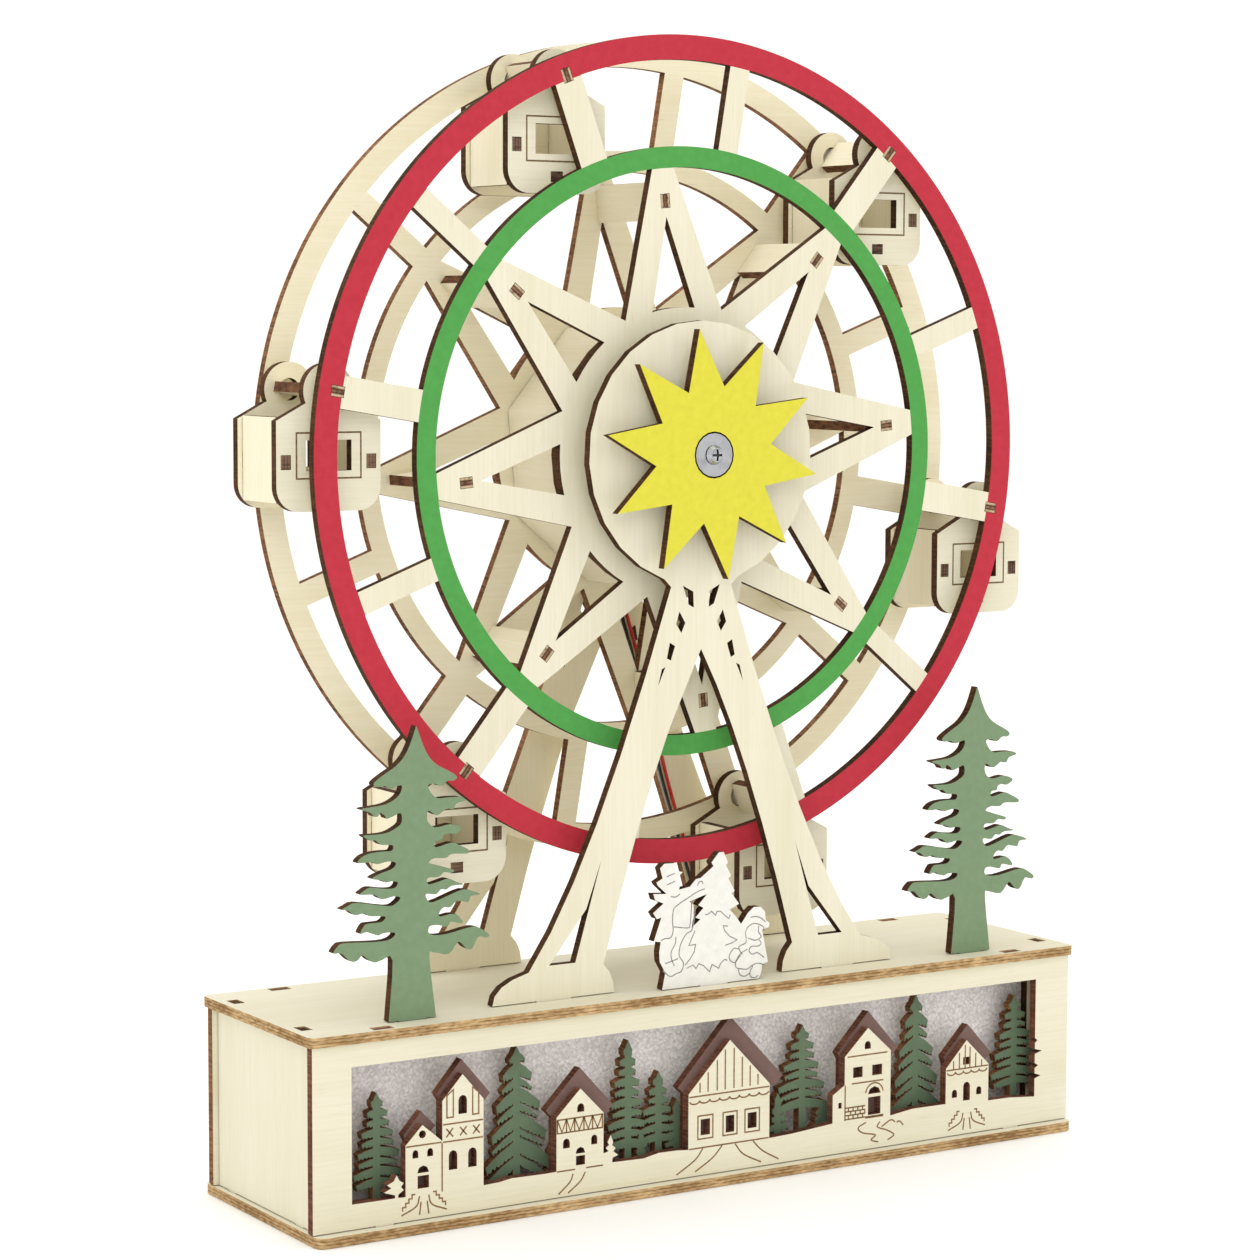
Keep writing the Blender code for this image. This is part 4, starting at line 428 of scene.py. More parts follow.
def finish_wood(tree, shader, base, height, face=None):
    """Wood's roughness and bump, rougher on the burnt edges."""
    tree.links.new(base, shader.inputs["Base Color"])
    if face is None:
        shader.inputs["Roughness"].default_value = FACE_ROUGHNESS
    else:
        drop = multiply(tree, face, EDGE_ROUGHNESS - FACE_ROUGHNESS)
        tree.links.new(subtract(tree, EDGE_ROUGHNESS, drop), shader.inputs["Roughness"])
    add_bump(tree, shader, height, WOOD_BUMP, WOOD_BUMP_DEPTH)
    shader.inputs["Specular IOR Level"].default_value = WOOD_SPECULAR


def painted(tree, place, face, paint, seed):
    """Thin matt paint over the wood, with the grain just showing and a slight mottle."""
    mottle = noise(tree, place, (420, 420, 420), 6.0, (seed, seed, seed))
    pale = tuple(min(1.0, value * 1.05 + 0.004) for value in paint)
    deep = tuple(value * 0.95 for value in paint)
    coat = blend(tree, ramp(tree, mottle, 0.30, 0.72), deep, pale)
    return blend(tree, PAINT_COVER, face, coat)


def sheet_material(node, axis, grain, seed, paint=None, burn="charred", inner=False, rings=False,
                   tube=False):
    """Plywood for one flat piece: its faces look along an axis, and paint lies on the front.

    A tube's faces look every other way, and its two ends are the cut edges.
    """
    low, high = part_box(node)
    index = "XYZ".index(axis)
    material, tree, shader, place, normal = new_material(f"{node}_wood")
    face = faces_along(tree, normal, axis)
    if tube:
        face = subtract(tree, 1.0, face)
    # An inner piece takes the lighter birch: painted light for the shade it stands in.
    wood, height = birch_face(tree, place, grain, seed, inner)
    edge = cut_edge(tree, place, axis, low[index], high[index] - low[index], seed, burn)
    if paint:
        wood = blend(tree, faces_front(tree, normal), wood, painted(tree, place, wood, paint, seed))
    if rings:
        wood = painted_rings(tree, place, normal, wood)
    finish_wood(tree, shader, blend(tree, face, edge, wood), height, face)
    return material


def dress(material, *nodes):
    """Give nodes of the frame their material."""
    for node in nodes:
        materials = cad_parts[node].data.materials
        materials.clear()
        materials.append(material)


def wheel_radius(tree, place):
    """A place as seen from the wheel's axis, and its distance from that axis, in metres."""
    centred = add_node(tree, "ShaderNodeMapping", {"Vector": place, "Location": (0, 0, -HUB_HEIGHT * MM)})
    inputs = {0: centred.outputs[0], 1: (1, 0, 1)}
    flat = add_node(tree, "ShaderNodeVectorMath", inputs, operation="MULTIPLY")
    length = add_node(tree, "ShaderNodeVectorMath", {0: flat.outputs[0]}, operation="LENGTH")
    return flat.outputs[0], length.outputs["Value"]


def painted_rings(tree, place, normal, wood):
    """The red rim and the green ring, painted on the front of the wheel's front plate."""
    front = faces_front(tree, normal)
    radius = wheel_radius(tree, place)[1]
    on_rim = calculate(tree, "GREATER_THAN", radius, RED_RING_INNER * MM)
    over = calculate(tree, "GREATER_THAN", radius, GREEN_RING[0] * MM)
    under = calculate(tree, "LESS_THAN", radius, GREEN_RING[1] * MM)
    red = painted(tree, place, wood, RED_PAINT, 5)
    green = painted(tree, place, wood, GREEN_PAINT, 7)
    base = blend(tree, multiply(tree, on_rim, front), wood, red)
    return blend(tree, multiply(tree, multiply(tree, over, under), front), base, green)


def board_depth(tree, flat, radius):
    """How far a point lies from the middle of the board it is on, as a share of the ply."""
    angle = calculate(tree, "ARCTAN2", component(tree, flat, "Z"), component(tree, flat, "X"))
    turned = subtract(tree, angle, math.radians(WHEEL_PHASE))
    on_bar = calculate(tree, "GREATER_THAN", radius, BAR_MIN_RADIUS * MM)
    step = math.radians(BAR_PITCH - PLANK_PITCH)
    pitch = add(tree, math.radians(PLANK_PITCH), multiply(tree, on_bar, step))
    turns = calculate(tree, "DIVIDE", turned, pitch)
    aside = multiply(tree, subtract(tree, turns, calculate(tree, "ROUND", turns)), pitch)
    across = multiply(tree, calculate(tree, "ABSOLUTE", aside), radius)
    return calculate(tree, "DIVIDE", across, PLY * MM)


def rear_plate_material():
    """Birch for the rear plate, and for the planks and bars on it, lightened as painted light against the
    shade between the plates.
    """
    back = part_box("wheel_rear_plate")[1][1]
    thickness = PLY * MM
    material, tree, shader, place, normal = new_material("wheel_rear_plate_wood")
    wood, height = birch_face(tree, place, "X", 11, True)
    plank_wood = birch_face(tree, place, "Y", 13, True)[0]
    edge = cut_edge(tree, place, "Y", back - thickness, thickness, 11, "scorched")
    on_board = calculate(tree, "LESS_THAN", component(tree, place, "Y"), back - 1.02 * thickness)
    flat, radius = wheel_radius(tree, place)
    streaks = noise(tree, place, (900, 300, 900), 3.0)
    from_middle = board_depth(tree, flat, radius)
    glue = multiply(tree, ply_lines(tree, from_middle), 0.8)
    tone = subtract(tree, ramp(tree, streaks, 0.30, 0.70), glue)
    outer_plies = multiply(tree, ramp(tree, from_middle, 0.24, 0.34), ramp(tree, streaks, 0.26, 0.48))
    board_end = blend(tree, tone, TAB_DARK, TAB_MIDDLE)
    board_end = blend(tree, outer_plies, board_end, TAB_LIGHT)
    long_edge = blend(tree, ramp(tree, streaks, 0.34, 0.66), TAB_DARK, BOARD_EDGE)
    outward = add_node(tree, "ShaderNodeVectorMath", {0: flat}, operation="NORMALIZE")
    inputs = {0: outward.outputs[0], 1: normal}
    radial = add_node(tree, "ShaderNodeVectorMath", inputs, operation="DOT_PRODUCT")
    narrow = calculate(tree, "GREATER_THAN", calculate(tree, "ABSOLUTE", radial.outputs["Value"]), FACING)
    along_y = faces_along(tree, normal, "Y")
    board_face = subtract(tree, 1.0, calculate(tree, "MAXIMUM", narrow, along_y))
    plate = blend(tree, along_y, edge, wood)
    board = blend(tree, board_face, blend(tree, along_y, long_edge, board_end), plank_wood)
    base = blend(tree, on_board, plate, board)
    finish_wood(tree, shader, base, height, along_y)
    return material


def cabin_box_material(node, seed):
    """Birch for a cabin's walls and floor, lightened as painted light, with burnt ends, tabs and upper
    edges.
    """
    low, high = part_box(node)
    material, tree, shader, place, normal = new_material(f"{node}_wood")
    wood, height = birch_face(tree, place, "Z", seed, True)
    centre = (low[0] + high[0]) / 2
    aside = calculate(tree, "ABSOLUTE", subtract(tree, component(tree, place, "X"), centre))
    wall_inside = (high[0] - low[0]) / 2 - PLY * MM
    edge = cut_edge(tree, place, "X", wall_inside, PLY * MM, seed, "dark tabs", aside)
    wall = calculate(tree, "GREATER_THAN", aside, wall_inside - 0.05 * MM)
    ends = multiply(tree, faces_along(tree, normal, "Z"), wall)
    burnt = calculate(tree, "MAXIMUM", ends, faces_along(tree, normal, "Y"))
    face = subtract(tree, 1.0, burnt)
    finish_wood(tree, shader, blend(tree, face, edge, wood), height, face)
    return material


def turned_wood_material(node, seed):
    """Turned birch, its grain along the wheel's axis."""
    material, tree, shader, place = new_material(f"{node}_wood")[:4]
    wood, height = birch_face(tree, place, "Y", seed)
    finish_wood(tree, shader, wood, height)
    return material


def sky_material():
    """A grey glitter sheet: fine bright flakes on a pale lilac grey."""
    material, tree, shader, place = new_material("sky_glitter")[:4]
    flakes = add_node(tree, "ShaderNodeTexVoronoi", {"Vector": place, "Scale": 1350.0})
    inputs = {"Vector": place, "Scale": 620.0}
    spots = add_node(tree, "ShaderNodeTexVoronoi", inputs, feature="DISTANCE_TO_EDGE")
    tone = add_node(tree, "ShaderNodeSeparateColor", {0: flakes.outputs["Color"]})
    seam = ramp(tree, spots.outputs["Distance"], 0.02, 0.22)
    mixed = add(tree, multiply(tree, tone.outputs[0], 0.62), multiply(tree, seam, 0.38))
    pale, deep = SKY
    base = blend(tree, ramp(tree, mixed, 0.12, 0.88), deep, pale)
    tree.links.new(base, shader.inputs["Base Color"])
    tree.links.new(ramp(tree, tone.outputs[1], -0.6, 1.4), shader.inputs["Roughness"])
    shader.inputs["Metallic"].default_value = 0.12
    add_bump(tree, shader, mixed, 0.5, 0.12)
    return material


def metal_material(name, base, roughness, scale=(300, 300, 300), paint_recess_shade=False):
    """Plated steel with fine scratches, and for the screw painted shade in the recess of its head."""
    material, tree, shader, place = new_material(name)[:4]
    scratches = noise(tree, place, scale, 4.0)
    dull = tuple(value * 0.72 for value in base)
    plating = blend(tree, ramp(tree, scratches, 0.35, 0.7), base, dull)
    if paint_recess_shade:
        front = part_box("axle_screw")[0][1]
        deep = calculate(tree, "GREATER_THAN", component(tree, place, "Y"), front + RECESS_START * MM)
        near = calculate(tree, "LESS_THAN", wheel_radius(tree, place)[1], RECESS_REACH * MM)
        # The recess in the screw head painted near black: painted shade
        plating = blend(tree, multiply(tree, deep, near), plating, PAINTED_RECESS_SHADE)
    tree.links.new(plating, shader.inputs["Base Color"])
    tree.links.new(ramp(tree, scratches, 0.4 - roughness, 1.6), shader.inputs["Roughness"])
    shader.inputs["Metallic"].default_value = 1.0
    add_bump(tree, shader, scratches, 0.12, 0.05)
    return material


def plastic_material(name, base, roughness):
    """Moulded plastic with a faint grain."""
    material, tree, shader, place = new_material(name)[:4]
    grain = noise(tree, place, (1800, 1800, 1800), 2.0)
    pale = tuple(min(1.0, value * 1.15 + 0.01) for value in base)
    tree.links.new(blend(tree, grain, base, pale), shader.inputs["Base Color"])
    tree.links.new(ramp(tree, grain, 0.5 - roughness, 1.7), shader.inputs["Roughness"])
    add_bump(tree, shader, grain, 0.1, 0.05)
    return material


def engraved_material(name, base):
    """The scorched or inked bottom of an engraved line."""
    material, tree, shader, place = new_material(name)[:4]
    grain = noise(tree, place, (900, 900, 900), 3.0)
    pale = tuple(value * 2.0 + 0.02 for value in base)
    tree.links.new(blend(tree, ramp(tree, grain, 0.3, 0.8), base, pale), shader.inputs["Base Color"])
    shader.inputs["Roughness"].default_value = 0.9
    shader.inputs["Specular IOR Level"].default_value = 0.1
    return material


def dress_frame():
    """A material for every node of the frame."""
    # A last True in a row gives lightened birch: painted light for the shade of the rear parts.
    sheets = (
        ("base_bottom_panel", "Z", "X", None, "sawn"), ("base_top_panel", "Z", "X", None, "sawn"),
        ("base_front_panel", "Y", "X", None, "reddish"), ("base_back_panel", "Y", "X", None, "scorched"),
        ("base_end_left", "X", "Z"), ("base_end_right", "X", "Z"),
        ("village_roof_layer", "Y", "X", ROOF_PAINT, "reddish"),
        ("village_tree_layer", "Y", "Z", FIR_PAINT, "scorched"),
        ("sky_spacer_frame", "Y", "X"), ("front_support", "Y", "Z"),
        ("rear_support", "Y", "Z", None, "scorched", True), ("star_ornament", "Y", "X", YELLOW_PAINT),
        ("star_spacer", "Y", "X"), ("fir_tree_left", "Y", "Z", SAGE_PAINT),
        ("fir_tree_right", "Y", "Z", SAGE_PAINT), ("snowman_scene", "Y", "X", WHITE_PAINT),
        ("front_hub_disc", "Y", "X"), ("rear_hub_disc", "Y", "X", None, "scorched", True),
        ("battery_hatch", "Z", "X"),
    )
    for seed, (node, axis, grain, *finish) in enumerate(sheets, 1):
        dress(sheet_material(node, axis, grain, seed, *finish), node)
    # Rear cabin plates, the cabin boxes and the drum get lightened birch too: painted light for their
    # shade.
    for number in CABIN_NUMBERS:
        for side in ("front", "rear"):
            node = f"cabin_{number}_{side}_plate"
            seed = 30 + number + (side == "rear") * 7
            dress(sheet_material(node, "Y", "X", seed, inner=side == "rear"), node)
        dress(cabin_box_material(f"cabin_{number}_box", 50 + number), f"cabin_{number}_box")
    dress(sheet_material("wheel_front_plate", "Y", "Z", 3, rings=True), "wheel_front_plate")
    dress(rear_plate_material(), "wheel_rear_plate")
    dress(sheet_material("hub_drum", "Y", "Y", 21, inner=True, tube=True), "hub_drum")
    dress(turned_wood_material("front_axle", 61), "front_axle")
    dress(turned_wood_material("hub_block", 62), "hub_block")
    dress(sky_material(), "sky_sheet")
    dress(metal_material("bright_steel", STEEL, 0.28),
          "axle_washer", "motor_screw_right", "motor_screw_left", "motor_shaft")
    dress(metal_material("screw_steel", STEEL, 0.28, paint_recess_shade=True), "axle_screw")
    dress(metal_material("motor_steel", DARK_STEEL, 0.4, (900, 120, 900)),
          "gear_motor", "power_switch_body")
    dress(plastic_material("black_plastic", BLACK_PLASTIC, 0.35), "battery_holder", "power_switch_knob")
    for node in ("battery_cell_1", "battery_cell_2"):
        dress(plastic_material(f"{node}_jacket", CELL_JACKET, 0.1), node)
    dress(plastic_material("black_insulation", BLACK_INSULATION, 0.1), "wire_black")
    dress(plastic_material("red_insulation", RED_INSULATION, 0.1), "wire_red", "switch_lead")


def polar(radius, angle):
    """A point at an angle in degrees."""
    return radius * math.cos(math.radians(angle)), radius * math.sin(math.radians(angle))


def turn_of(half_width, radius):
    """The angle in degrees that half a width takes up on a circle."""
    return math.degrees(math.asin(half_width / radius))


def arc(centre, radius, start, end, steps):
    """Points on a circle from one angle to another, in degrees."""
    turns = (polar(radius, start + (end - start) * index / steps) for index in range(steps + 1))
    return [(centre[0] + x, centre[1] + z) for x, z in turns]


def circle(centre, radius, steps):
    return arc(centre, radius, 0, 360, steps)[:-1]


def corners(left, bottom, right, top):
    """The corners of a rectangle between its sides."""
    return [(left, bottom), (right, bottom), (right, top), (left, top)]


def rectangle(x, z, width, height):
    """The corners of a rectangle about its middle."""
    return corners(x - width / 2, z - height / 2, x + width / 2, z + height / 2)


def closed(points):
    """The points as a line that comes back to the first."""
    return points + points[:1]


def smooth(points, steps=5):
    """A smooth line through a few points."""
    route = [Vector(p) for p in points]
    route = [2 * route[0] - route[1]] + route + [2 * route[-1] - route[-2]]
    line = []
    for a, b, c, d in zip(route, route[1:], route[2:], route[3:]):
        for step in range(steps):
            t = step / steps
            line.append(0.5 * (2 * b + (c - a) * t + (2 * a - 5 * b + 4 * c - d) * t ** 2
                               + (3 * b - a - 3 * c + d) * t ** 3))
    line.append(route[-2])
    return [tuple(p) for p in line]


def stroke(mesh, points, width, front, back):
    """One engraved line: a thin bar along the points, between two depths."""
    line = [Vector(p) for p in points]
    comes_back = (line[0] - line[-1]).length < 0.01
    rings = []
    for index, point in enumerate(line):
        before = line[index - 1] if index else (line[-2] if comes_back else point)
        after = line[index + 1] if index < len(line) - 1 else (line[1] if comes_back else point)
        arriving = (point - before).normalized()
        leaving = (after - point).normalized()
        if not arriving.length:
            arriving = leaving
        if not leaving.length:
            leaving = arriving
        heading = arriving + leaving
        heading = heading.normalized() if heading.length > 0.3 else leaving
        side = Vector((-heading.y, heading.x))
        reach = width / 2 / max(0.5, abs(side.dot(Vector((-leaving.y, leaving.x)))))
        left = point + side * reach
        right = point - side * reach
        rings.append([mesh.verts.new((p.x * MM, y * MM, p.y * MM))
                      for p, y in ((left, front), (right, front), (right, back), (left, back))])
    for near, far in zip(rings, rings[1:]):
        for index in range(4):
            following = (index + 1) % 4
            mesh.faces.new((near[index], near[following], far[following], far[index]))
    mesh.faces.new(rings[0])
    mesh.faces.new(list(reversed(rings[-1])))


def put_in_scene(name, data):
    item = bpy.data.objects.new(name, data)
    bpy.context.scene.collection.objects.link(item)
    return item


def new_object(name, shape, look):
    """An object in the scene from built geometry, with its material."""
    mesh = bpy.data.meshes.new(name)
    shape.to_mesh(mesh)
    shape.free()
    mesh.materials.append(look)
    return put_in_scene(name, mesh)


def engraving(name, strokes, node, body, look, width=LINE_WIDTH, rear=False):
    """Engraved lines on the front or rear face of a node."""
    low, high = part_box(node)
    level = (high[1] if rear else low[1]) / MM
    way = 1 if rear else -1
    shape = bmesh.new()
    for points in strokes:
        stroke(shape, points, width, level + way * LINE_PROUD, level - way * LINE_SUNK)
    bmesh.ops.recalc_face_normals(shape, faces=shape.faces)
    item = new_object(name, shape, look)
    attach(item, body)
    return item


def stairs(start, end, count):
    """A zigzag of steps from one point to another."""
    points = [start]
    run = (end[0] - start[0]) / count
    drop = (end[1] - start[1]) / count
    for index in range(count):
        x = start[0] + run * (index + 1)
        z = start[1] + drop * index
        points += [(x, z), (x, z + drop)]
    return points


def scallops(left, right, height, pitch, depth=0.9):
    """A row of hanging scallops as one line."""
    count = round((right - left) / pitch)
    step = (right - left) / count
    points = []
    for index in range(count):
        centre = left + step * (index + 0.5)
        for x, z in arc((centre, height), 1.0, 180, 360, 6):
            points.append((centre + (x - centre) * step / 2, height + (z - height) * depth))
    return points


def siding(places, foot, left, ridge, right, margin):
    """Upright boards in a gable, from its foot to a margin under its slopes."""
    boards = []
    for x in places:
        eave = left if x < ridge[0] else right
        slope = eave[1] + (ridge[1] - eave[1]) * (x - eave[0]) / (ridge[0] - eave[0])
        boards.append([(x, foot), (x, slope - margin)])
    return boards


def small_house_steps(centre):
    """The two flights of steps and the path in front of a small house."""
    lines = []
    for side in (-1, 1):
        lines.append(stairs((centre + side * 2.9, 10.8), (centre + side * 7.0, 6.3), 4))
        path = ((1.5, 10.1), (2.6, 7.2), (7.4, 5.1))
        lines.append(smooth([(centre + side * out, height) for out, height in path]))
        lines.append([(centre + side * 1.0, 8.4), (centre + side * 1.5, 4.6)])
    return lines


def cut_out(shape, loops, front, back):
    """Add one flat piece cut from a sheet between two depths: its outline and holes in X and Z."""
    data = bpy.data.curves.new("cut_out", "CURVE")
    data.dimensions = "2D"
    data.fill_mode = "BOTH"
    data.extrude = (back - front) / 2 * MM
    for loop in loops:
        spline = data.splines.new("POLY")
        spline.points.add(len(loop) - 1)
        for point, (x, z) in zip(spline.points, loop):
            point.co = (x * MM, z * MM, 0, 1)
        spline.use_cyclic_u = True
        spline.use_smooth = False
    item = put_in_scene("cut_out", data)
    seen = item.evaluated_get(bpy.context.evaluated_depsgraph_get())
    mesh = bpy.data.meshes.new_from_object(seen)
    bpy.data.objects.remove(item)
    bpy.data.curves.remove(data)
    upright = Matrix.Translation((0, (front + back) / 2 * MM, 0)) @ Matrix.Rotation(math.pi / 2, 4, "X")
    mesh.transform(upright)
    mesh.materials.clear()
    shape.from_mesh(mesh)
    bpy.data.meshes.remove(mesh)


def add_board(shape, radius, angle, width, front, back):
    """A board on edge across the wheel between two depths."""
    x, z = polar(radius, angle)
    place = Matrix.Translation((x * MM, (front + back) / 2 * MM, (HUB_HEIGHT + z) * MM))
    turn = Matrix.Rotation(-math.radians(angle), 4, "Y")
    size = Matrix.Diagonal((width * MM, (back - front) * MM, PLY * MM, 1))
    bmesh.ops.create_cube(shape, size=1, matrix=place @ turn @ size)


def cut_piece(name, outlines, node, body="root", boards=()):
    """A piece that stands for a sheet node: its parts cut from the node's ply, and its boards."""
    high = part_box(node)[1][1] / MM
    low = high - PLY
    shape = bmesh.new()
    for index, loops in enumerate(outlines):
        inset = OVERLAP_STEP * (index % 4)
        cut_out(shape, loops, low + inset, high - inset)
    for sizes in boards:
        add_board(shape, *sizes)
    bmesh.ops.remove_doubles(shape, verts=shape.verts, dist=WELD_DISTANCE * MM)
    bmesh.ops.recalc_face_normals(shape, faces=shape.faces)
    item = new_object(name, shape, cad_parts[node].data.materials[0])
    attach(item, body)
    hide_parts(node)


def garden_fir_side(branches, way, middle, base):
    """One side of a garden fir from its tip down to its foot."""
    points = [GARDEN_FIR_TIP] + [(way * out, height) for branch in branches for out, height in branch]
    points.append((way * GARDEN_FIR_FOOT, 0.0))
    return [(middle + x, base + z) for x, z in smooth(points, 3)]


def window_fir_side(reach, top, low, pitch, droop, chance):
    """One side of a window fir from its tip down: branches with needled undersides."""
    tiers = round((top - low) / pitch)
    step = (top - low) / tiers
    branches = []
    for index in range(tiers):
        swing = chance.uniform(*LONG_BRANCH) if index % 2 else chance.uniform(*SHORT_BRANCH)
        out = reach * ((index + 1) / tiers) ** FIR_TAPER * swing
        tip = top - step * (index + TIP_DROP)
        branches.append((out, tip, tip + droop * out))
    branches.append((reach, low - step, low - step + droop * reach))
    points = []
    inner = WINDOW_FIR_TRUNK * BRANCH_ROOT
    for (out, tip, root), (_, _, next_root) in zip(branches, branches[1:]):
        length = out - inner
        points.append((inner, root))
        points.append((inner + length * BOW_PLACE, root - droop * out * BOW_DROP + step * BOW_RISE))
        points.append((out, tip))
        needles = max(2, round(out / NEEDLE_PITCH))
        for needle in range(needles):
            share = 1 - (needle + FIRST_NEEDLE) / needles
            across = inner + length * share
            lowest = next_root - droop * across + step * (UNDERSIDE_NEAR + UNDERSIDE_RISE * share)
            size = NEEDLE_LIFT_NEAR + (1 - NEEDLE_LIFT_NEAR) * share
            lift = step * chance.uniform(*NEEDLE_LIFT) * size
            points.append((across, lowest))
            points.append((across - length * NEEDLE_LEAN / needles, lowest + lift))
        points.append((inner, next_root + step * NEXT_ROOT_GAP))
    return points


def window_fir(x, top, low, left_reach, right_reach, pitch, droop):
    """A window fir and its trunk, down into the strip that carries it."""
    chance = random.Random(round(x * 10))
    right = window_fir_side(right_reach, top, low, pitch, droop, chance)
    left = window_fir_side(left_reach, top, low, pitch, droop, chance)
    foot = WINDOW_STRIP_TOP - 1
    return ([(x, top)] + [(x + out, z) for out, z in right] + [(x + WINDOW_FIR_TRUNK, foot)]
            + [(x - WINDOW_FIR_TRUNK, foot)] + [(x - out, z) for out, z in reversed(left)])


def make_firs():
    """The firs of the garden and of the window, cut finer than their nodes."""
    for side in ("left", "right"):
        node = f"fir_tree_{side}"
        low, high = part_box(node)
        middle = (low[0] + high[0]) / 2 / MM
        base = high[2] / MM - GARDEN_FIR_HEIGHT
        right = garden_fir_side(GARDEN_FIR_RIGHT, 1, middle, base)
        left = garden_fir_side(GARDEN_FIR_LEFT, -1, middle, base)
        foot = low[2] / MM
        tab = [(middle + GARDEN_FIR_TAB, base), (middle + GARDEN_FIR_TAB, foot),
               (middle - GARDEN_FIR_TAB, foot), (middle - GARDEN_FIR_TAB, base)]
        cut_piece(f"garden_fir_{side}", [[right + tab + list(reversed(left))[:-1]]], node)
    low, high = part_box("village_tree_layer")
    strip = corners(low[0] / MM, low[2] / MM, high[0] / MM, WINDOW_STRIP_TOP)
    firs = [[window_fir(*sizes)] for sizes in WINDOW_FIRS]
    cut_piece("village_firs", [[strip]] + firs, "village_tree_layer")


def spoke_gap(start, start_width, end, end_width):
    """The opening between two spokes, the ring and the rim."""
    outer = arc((0, 0), RIM_INNER, start + turn_of(start_width / 2, RIM_INNER),
                end - turn_of(end_width / 2, RIM_INNER), SPOKE_GAP_STEPS)
    inner = arc((0, 0), RING_OUTER, end - turn_of(end_width / 2, RING_OUTER),
                start + turn_of(start_width / 2, RING_OUTER), SPOKE_GAP_STEPS)
    return outer + inner


def board_slot(radius, angle):
    """The slot in the front plate round a board's tab."""
    turn = Matrix.Rotation(math.radians(angle), 2)
    x, z = polar(radius, angle)
    slot = rectangle(0, 0, BOARD_TAB + BOARD_GAP, PLY + BOARD_GAP)
    return [(x + point.x, z + point.y) for point in (turn @ Vector(corner) for corner in slot)]


def wheel_plate(centre_hole, slotted):
    """A wheel plate's outline and holes: rim, ring, spokes and the eight-pointed star."""
    loops = [circle((0, 0), RIM_OUTER, RIM_STEPS)]
    for index in range(CABIN_COUNT):
        cabin = WHEEL_PHASE + index * BAR_PITCH
        plain = cabin + BAR_PITCH / 2
        loops.append(spoke_gap(cabin, CABIN_SPOKE_WIDTH, plain, PLAIN_SPOKE_WIDTH))
        loops.append(spoke_gap(plain, PLAIN_SPOKE_WIDTH, cabin + BAR_PITCH, CABIN_SPOKE_WIDTH))
        if slotted:
            loops.append(board_slot(BAR_RADIUS, cabin))
    tip_edge = turn_of(STAR_TIP_HALF_WIDTH, RING_INNER)
    foot_edge = turn_of(TIP_WINDOW_HALF_WIDTH, TIP_WINDOW_FOOT)
    for index in range(STAR_POINTS):
        tip = WHEEL_PHASE + index * PLANK_PITCH
        gap = arc((0, 0), RING_INNER, tip + tip_edge, tip + PLANK_PITCH - tip_edge, STAR_GAP_STEPS)
        loops.append(gap + [polar(STAR_NOTCH_RADIUS, tip + PLANK_PITCH / 2)])
        loops.append(arc((0, 0), TIP_WINDOW_FOOT, tip - foot_edge, tip + foot_edge, TIP_WINDOW_STEPS)
                     + [polar(TIP_WINDOW_APEX, tip)])
        if slotted:
            loops.append(board_slot(PLANK_RADIUS, tip))
    loops.append(circle((0, 0), centre_hole, HUB_HOLE_STEPS))
    return [[(x, HUB_HEIGHT + z) for x, z in loop] for loop in loops]


def make_wheel_plates():
    """The wheel's two plates with smooth rings, and the planks and bars on the rear one."""
    cut_piece("wheel_front_sheet", [wheel_plate(AXLE_BORE, True)], "wheel_front_plate",
              "wheel")
    low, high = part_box("wheel_rear_plate")
    tab_front = low[1] / MM
    start = tab_front + PLY + BOARD_GAP
    end = high[1] / MM - PLY / 2
    cabin_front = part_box("cabin_1_front_plate")[1][1] / MM + BOARD_GAP
    cabin_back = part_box("cabin_1_rear_plate")[0][1] / MM - BOARD_GAP
    tab = (BOARD_TAB, tab_front, start)
    plank = ((PLANK_WIDTH, start, end), tab)
    bar = ((BAR_WIDTH, cabin_front, cabin_back), (BAR_NECK, start, cabin_front),
           (BAR_NECK, cabin_back, end), tab)
    boards = [(PLANK_RADIUS, WHEEL_PHASE + index * PLANK_PITCH, *part)
              for index in range(STAR_POINTS) for part in plank]
    boards += [(BAR_RADIUS, WHEEL_PHASE + index * BAR_PITCH, *part)
               for index in range(CABIN_COUNT) for part in bar]
    cut_piece("wheel_rear_sheet", [wheel_plate(MOTOR_HOLE, False)], "wheel_rear_plate",
              "wheel", boards)


def cabin_place(number):
    """The middle of a cabin's bar."""
    x, z = polar(BAR_RADIUS, WHEEL_PHASE + BAR_PITCH * (number - 1))
    return x, HUB_HEIGHT + z


def make_cabin_plates():
    """The cabins' plates with smooth ears and corners in place of the nodes' facets."""
    neck_turn = turn_of(NECK_DROP, EAR_RADIUS)
    corner_x = CABIN_HALF_WIDTH - CABIN_CORNER
    for number in CABIN_NUMBERS:
        x, z = cabin_place(number)
        corner_z = z + CABIN_CORNER - CABIN_DROP
        outline = arc((x, z), EAR_RADIUS, -neck_turn, 180 + neck_turn, EAR_STEPS)
        outline.append((x - CABIN_HALF_WIDTH, z - SHOULDER_DROP))
        outline += arc((x - corner_x, corner_z), CABIN_CORNER, 180, 270, CORNER_STEPS)
        outline += arc((x + corner_x, corner_z), CABIN_CORNER, 270, 360, CORNER_STEPS)
        outline.append((x + CABIN_HALF_WIDTH, z - SHOULDER_DROP))
        window = rectangle(x, z - WINDOW_DROP, *WINDOW_SIZE)
        loops = [outline, circle((x, z), BAR_HOLE, BAR_HOLE_STEPS), window]
        for side in (-1, 1):
            loops.append(rectangle(x + side * WALL_SLOT[0], z - WALL_SLOT[1], SLOT_SHORT, SLOT_LONG))
        loops.append(rectangle(x, z - FLOOR_SLOT_DROP, SLOT_LONG, SLOT_SHORT))
        for side in ("front", "rear"):
            cut_piece(f"cabin_{number}_{side}_sheet", [loops], f"cabin_{number}_{side}_plate",
                      f"cabin_{number}")


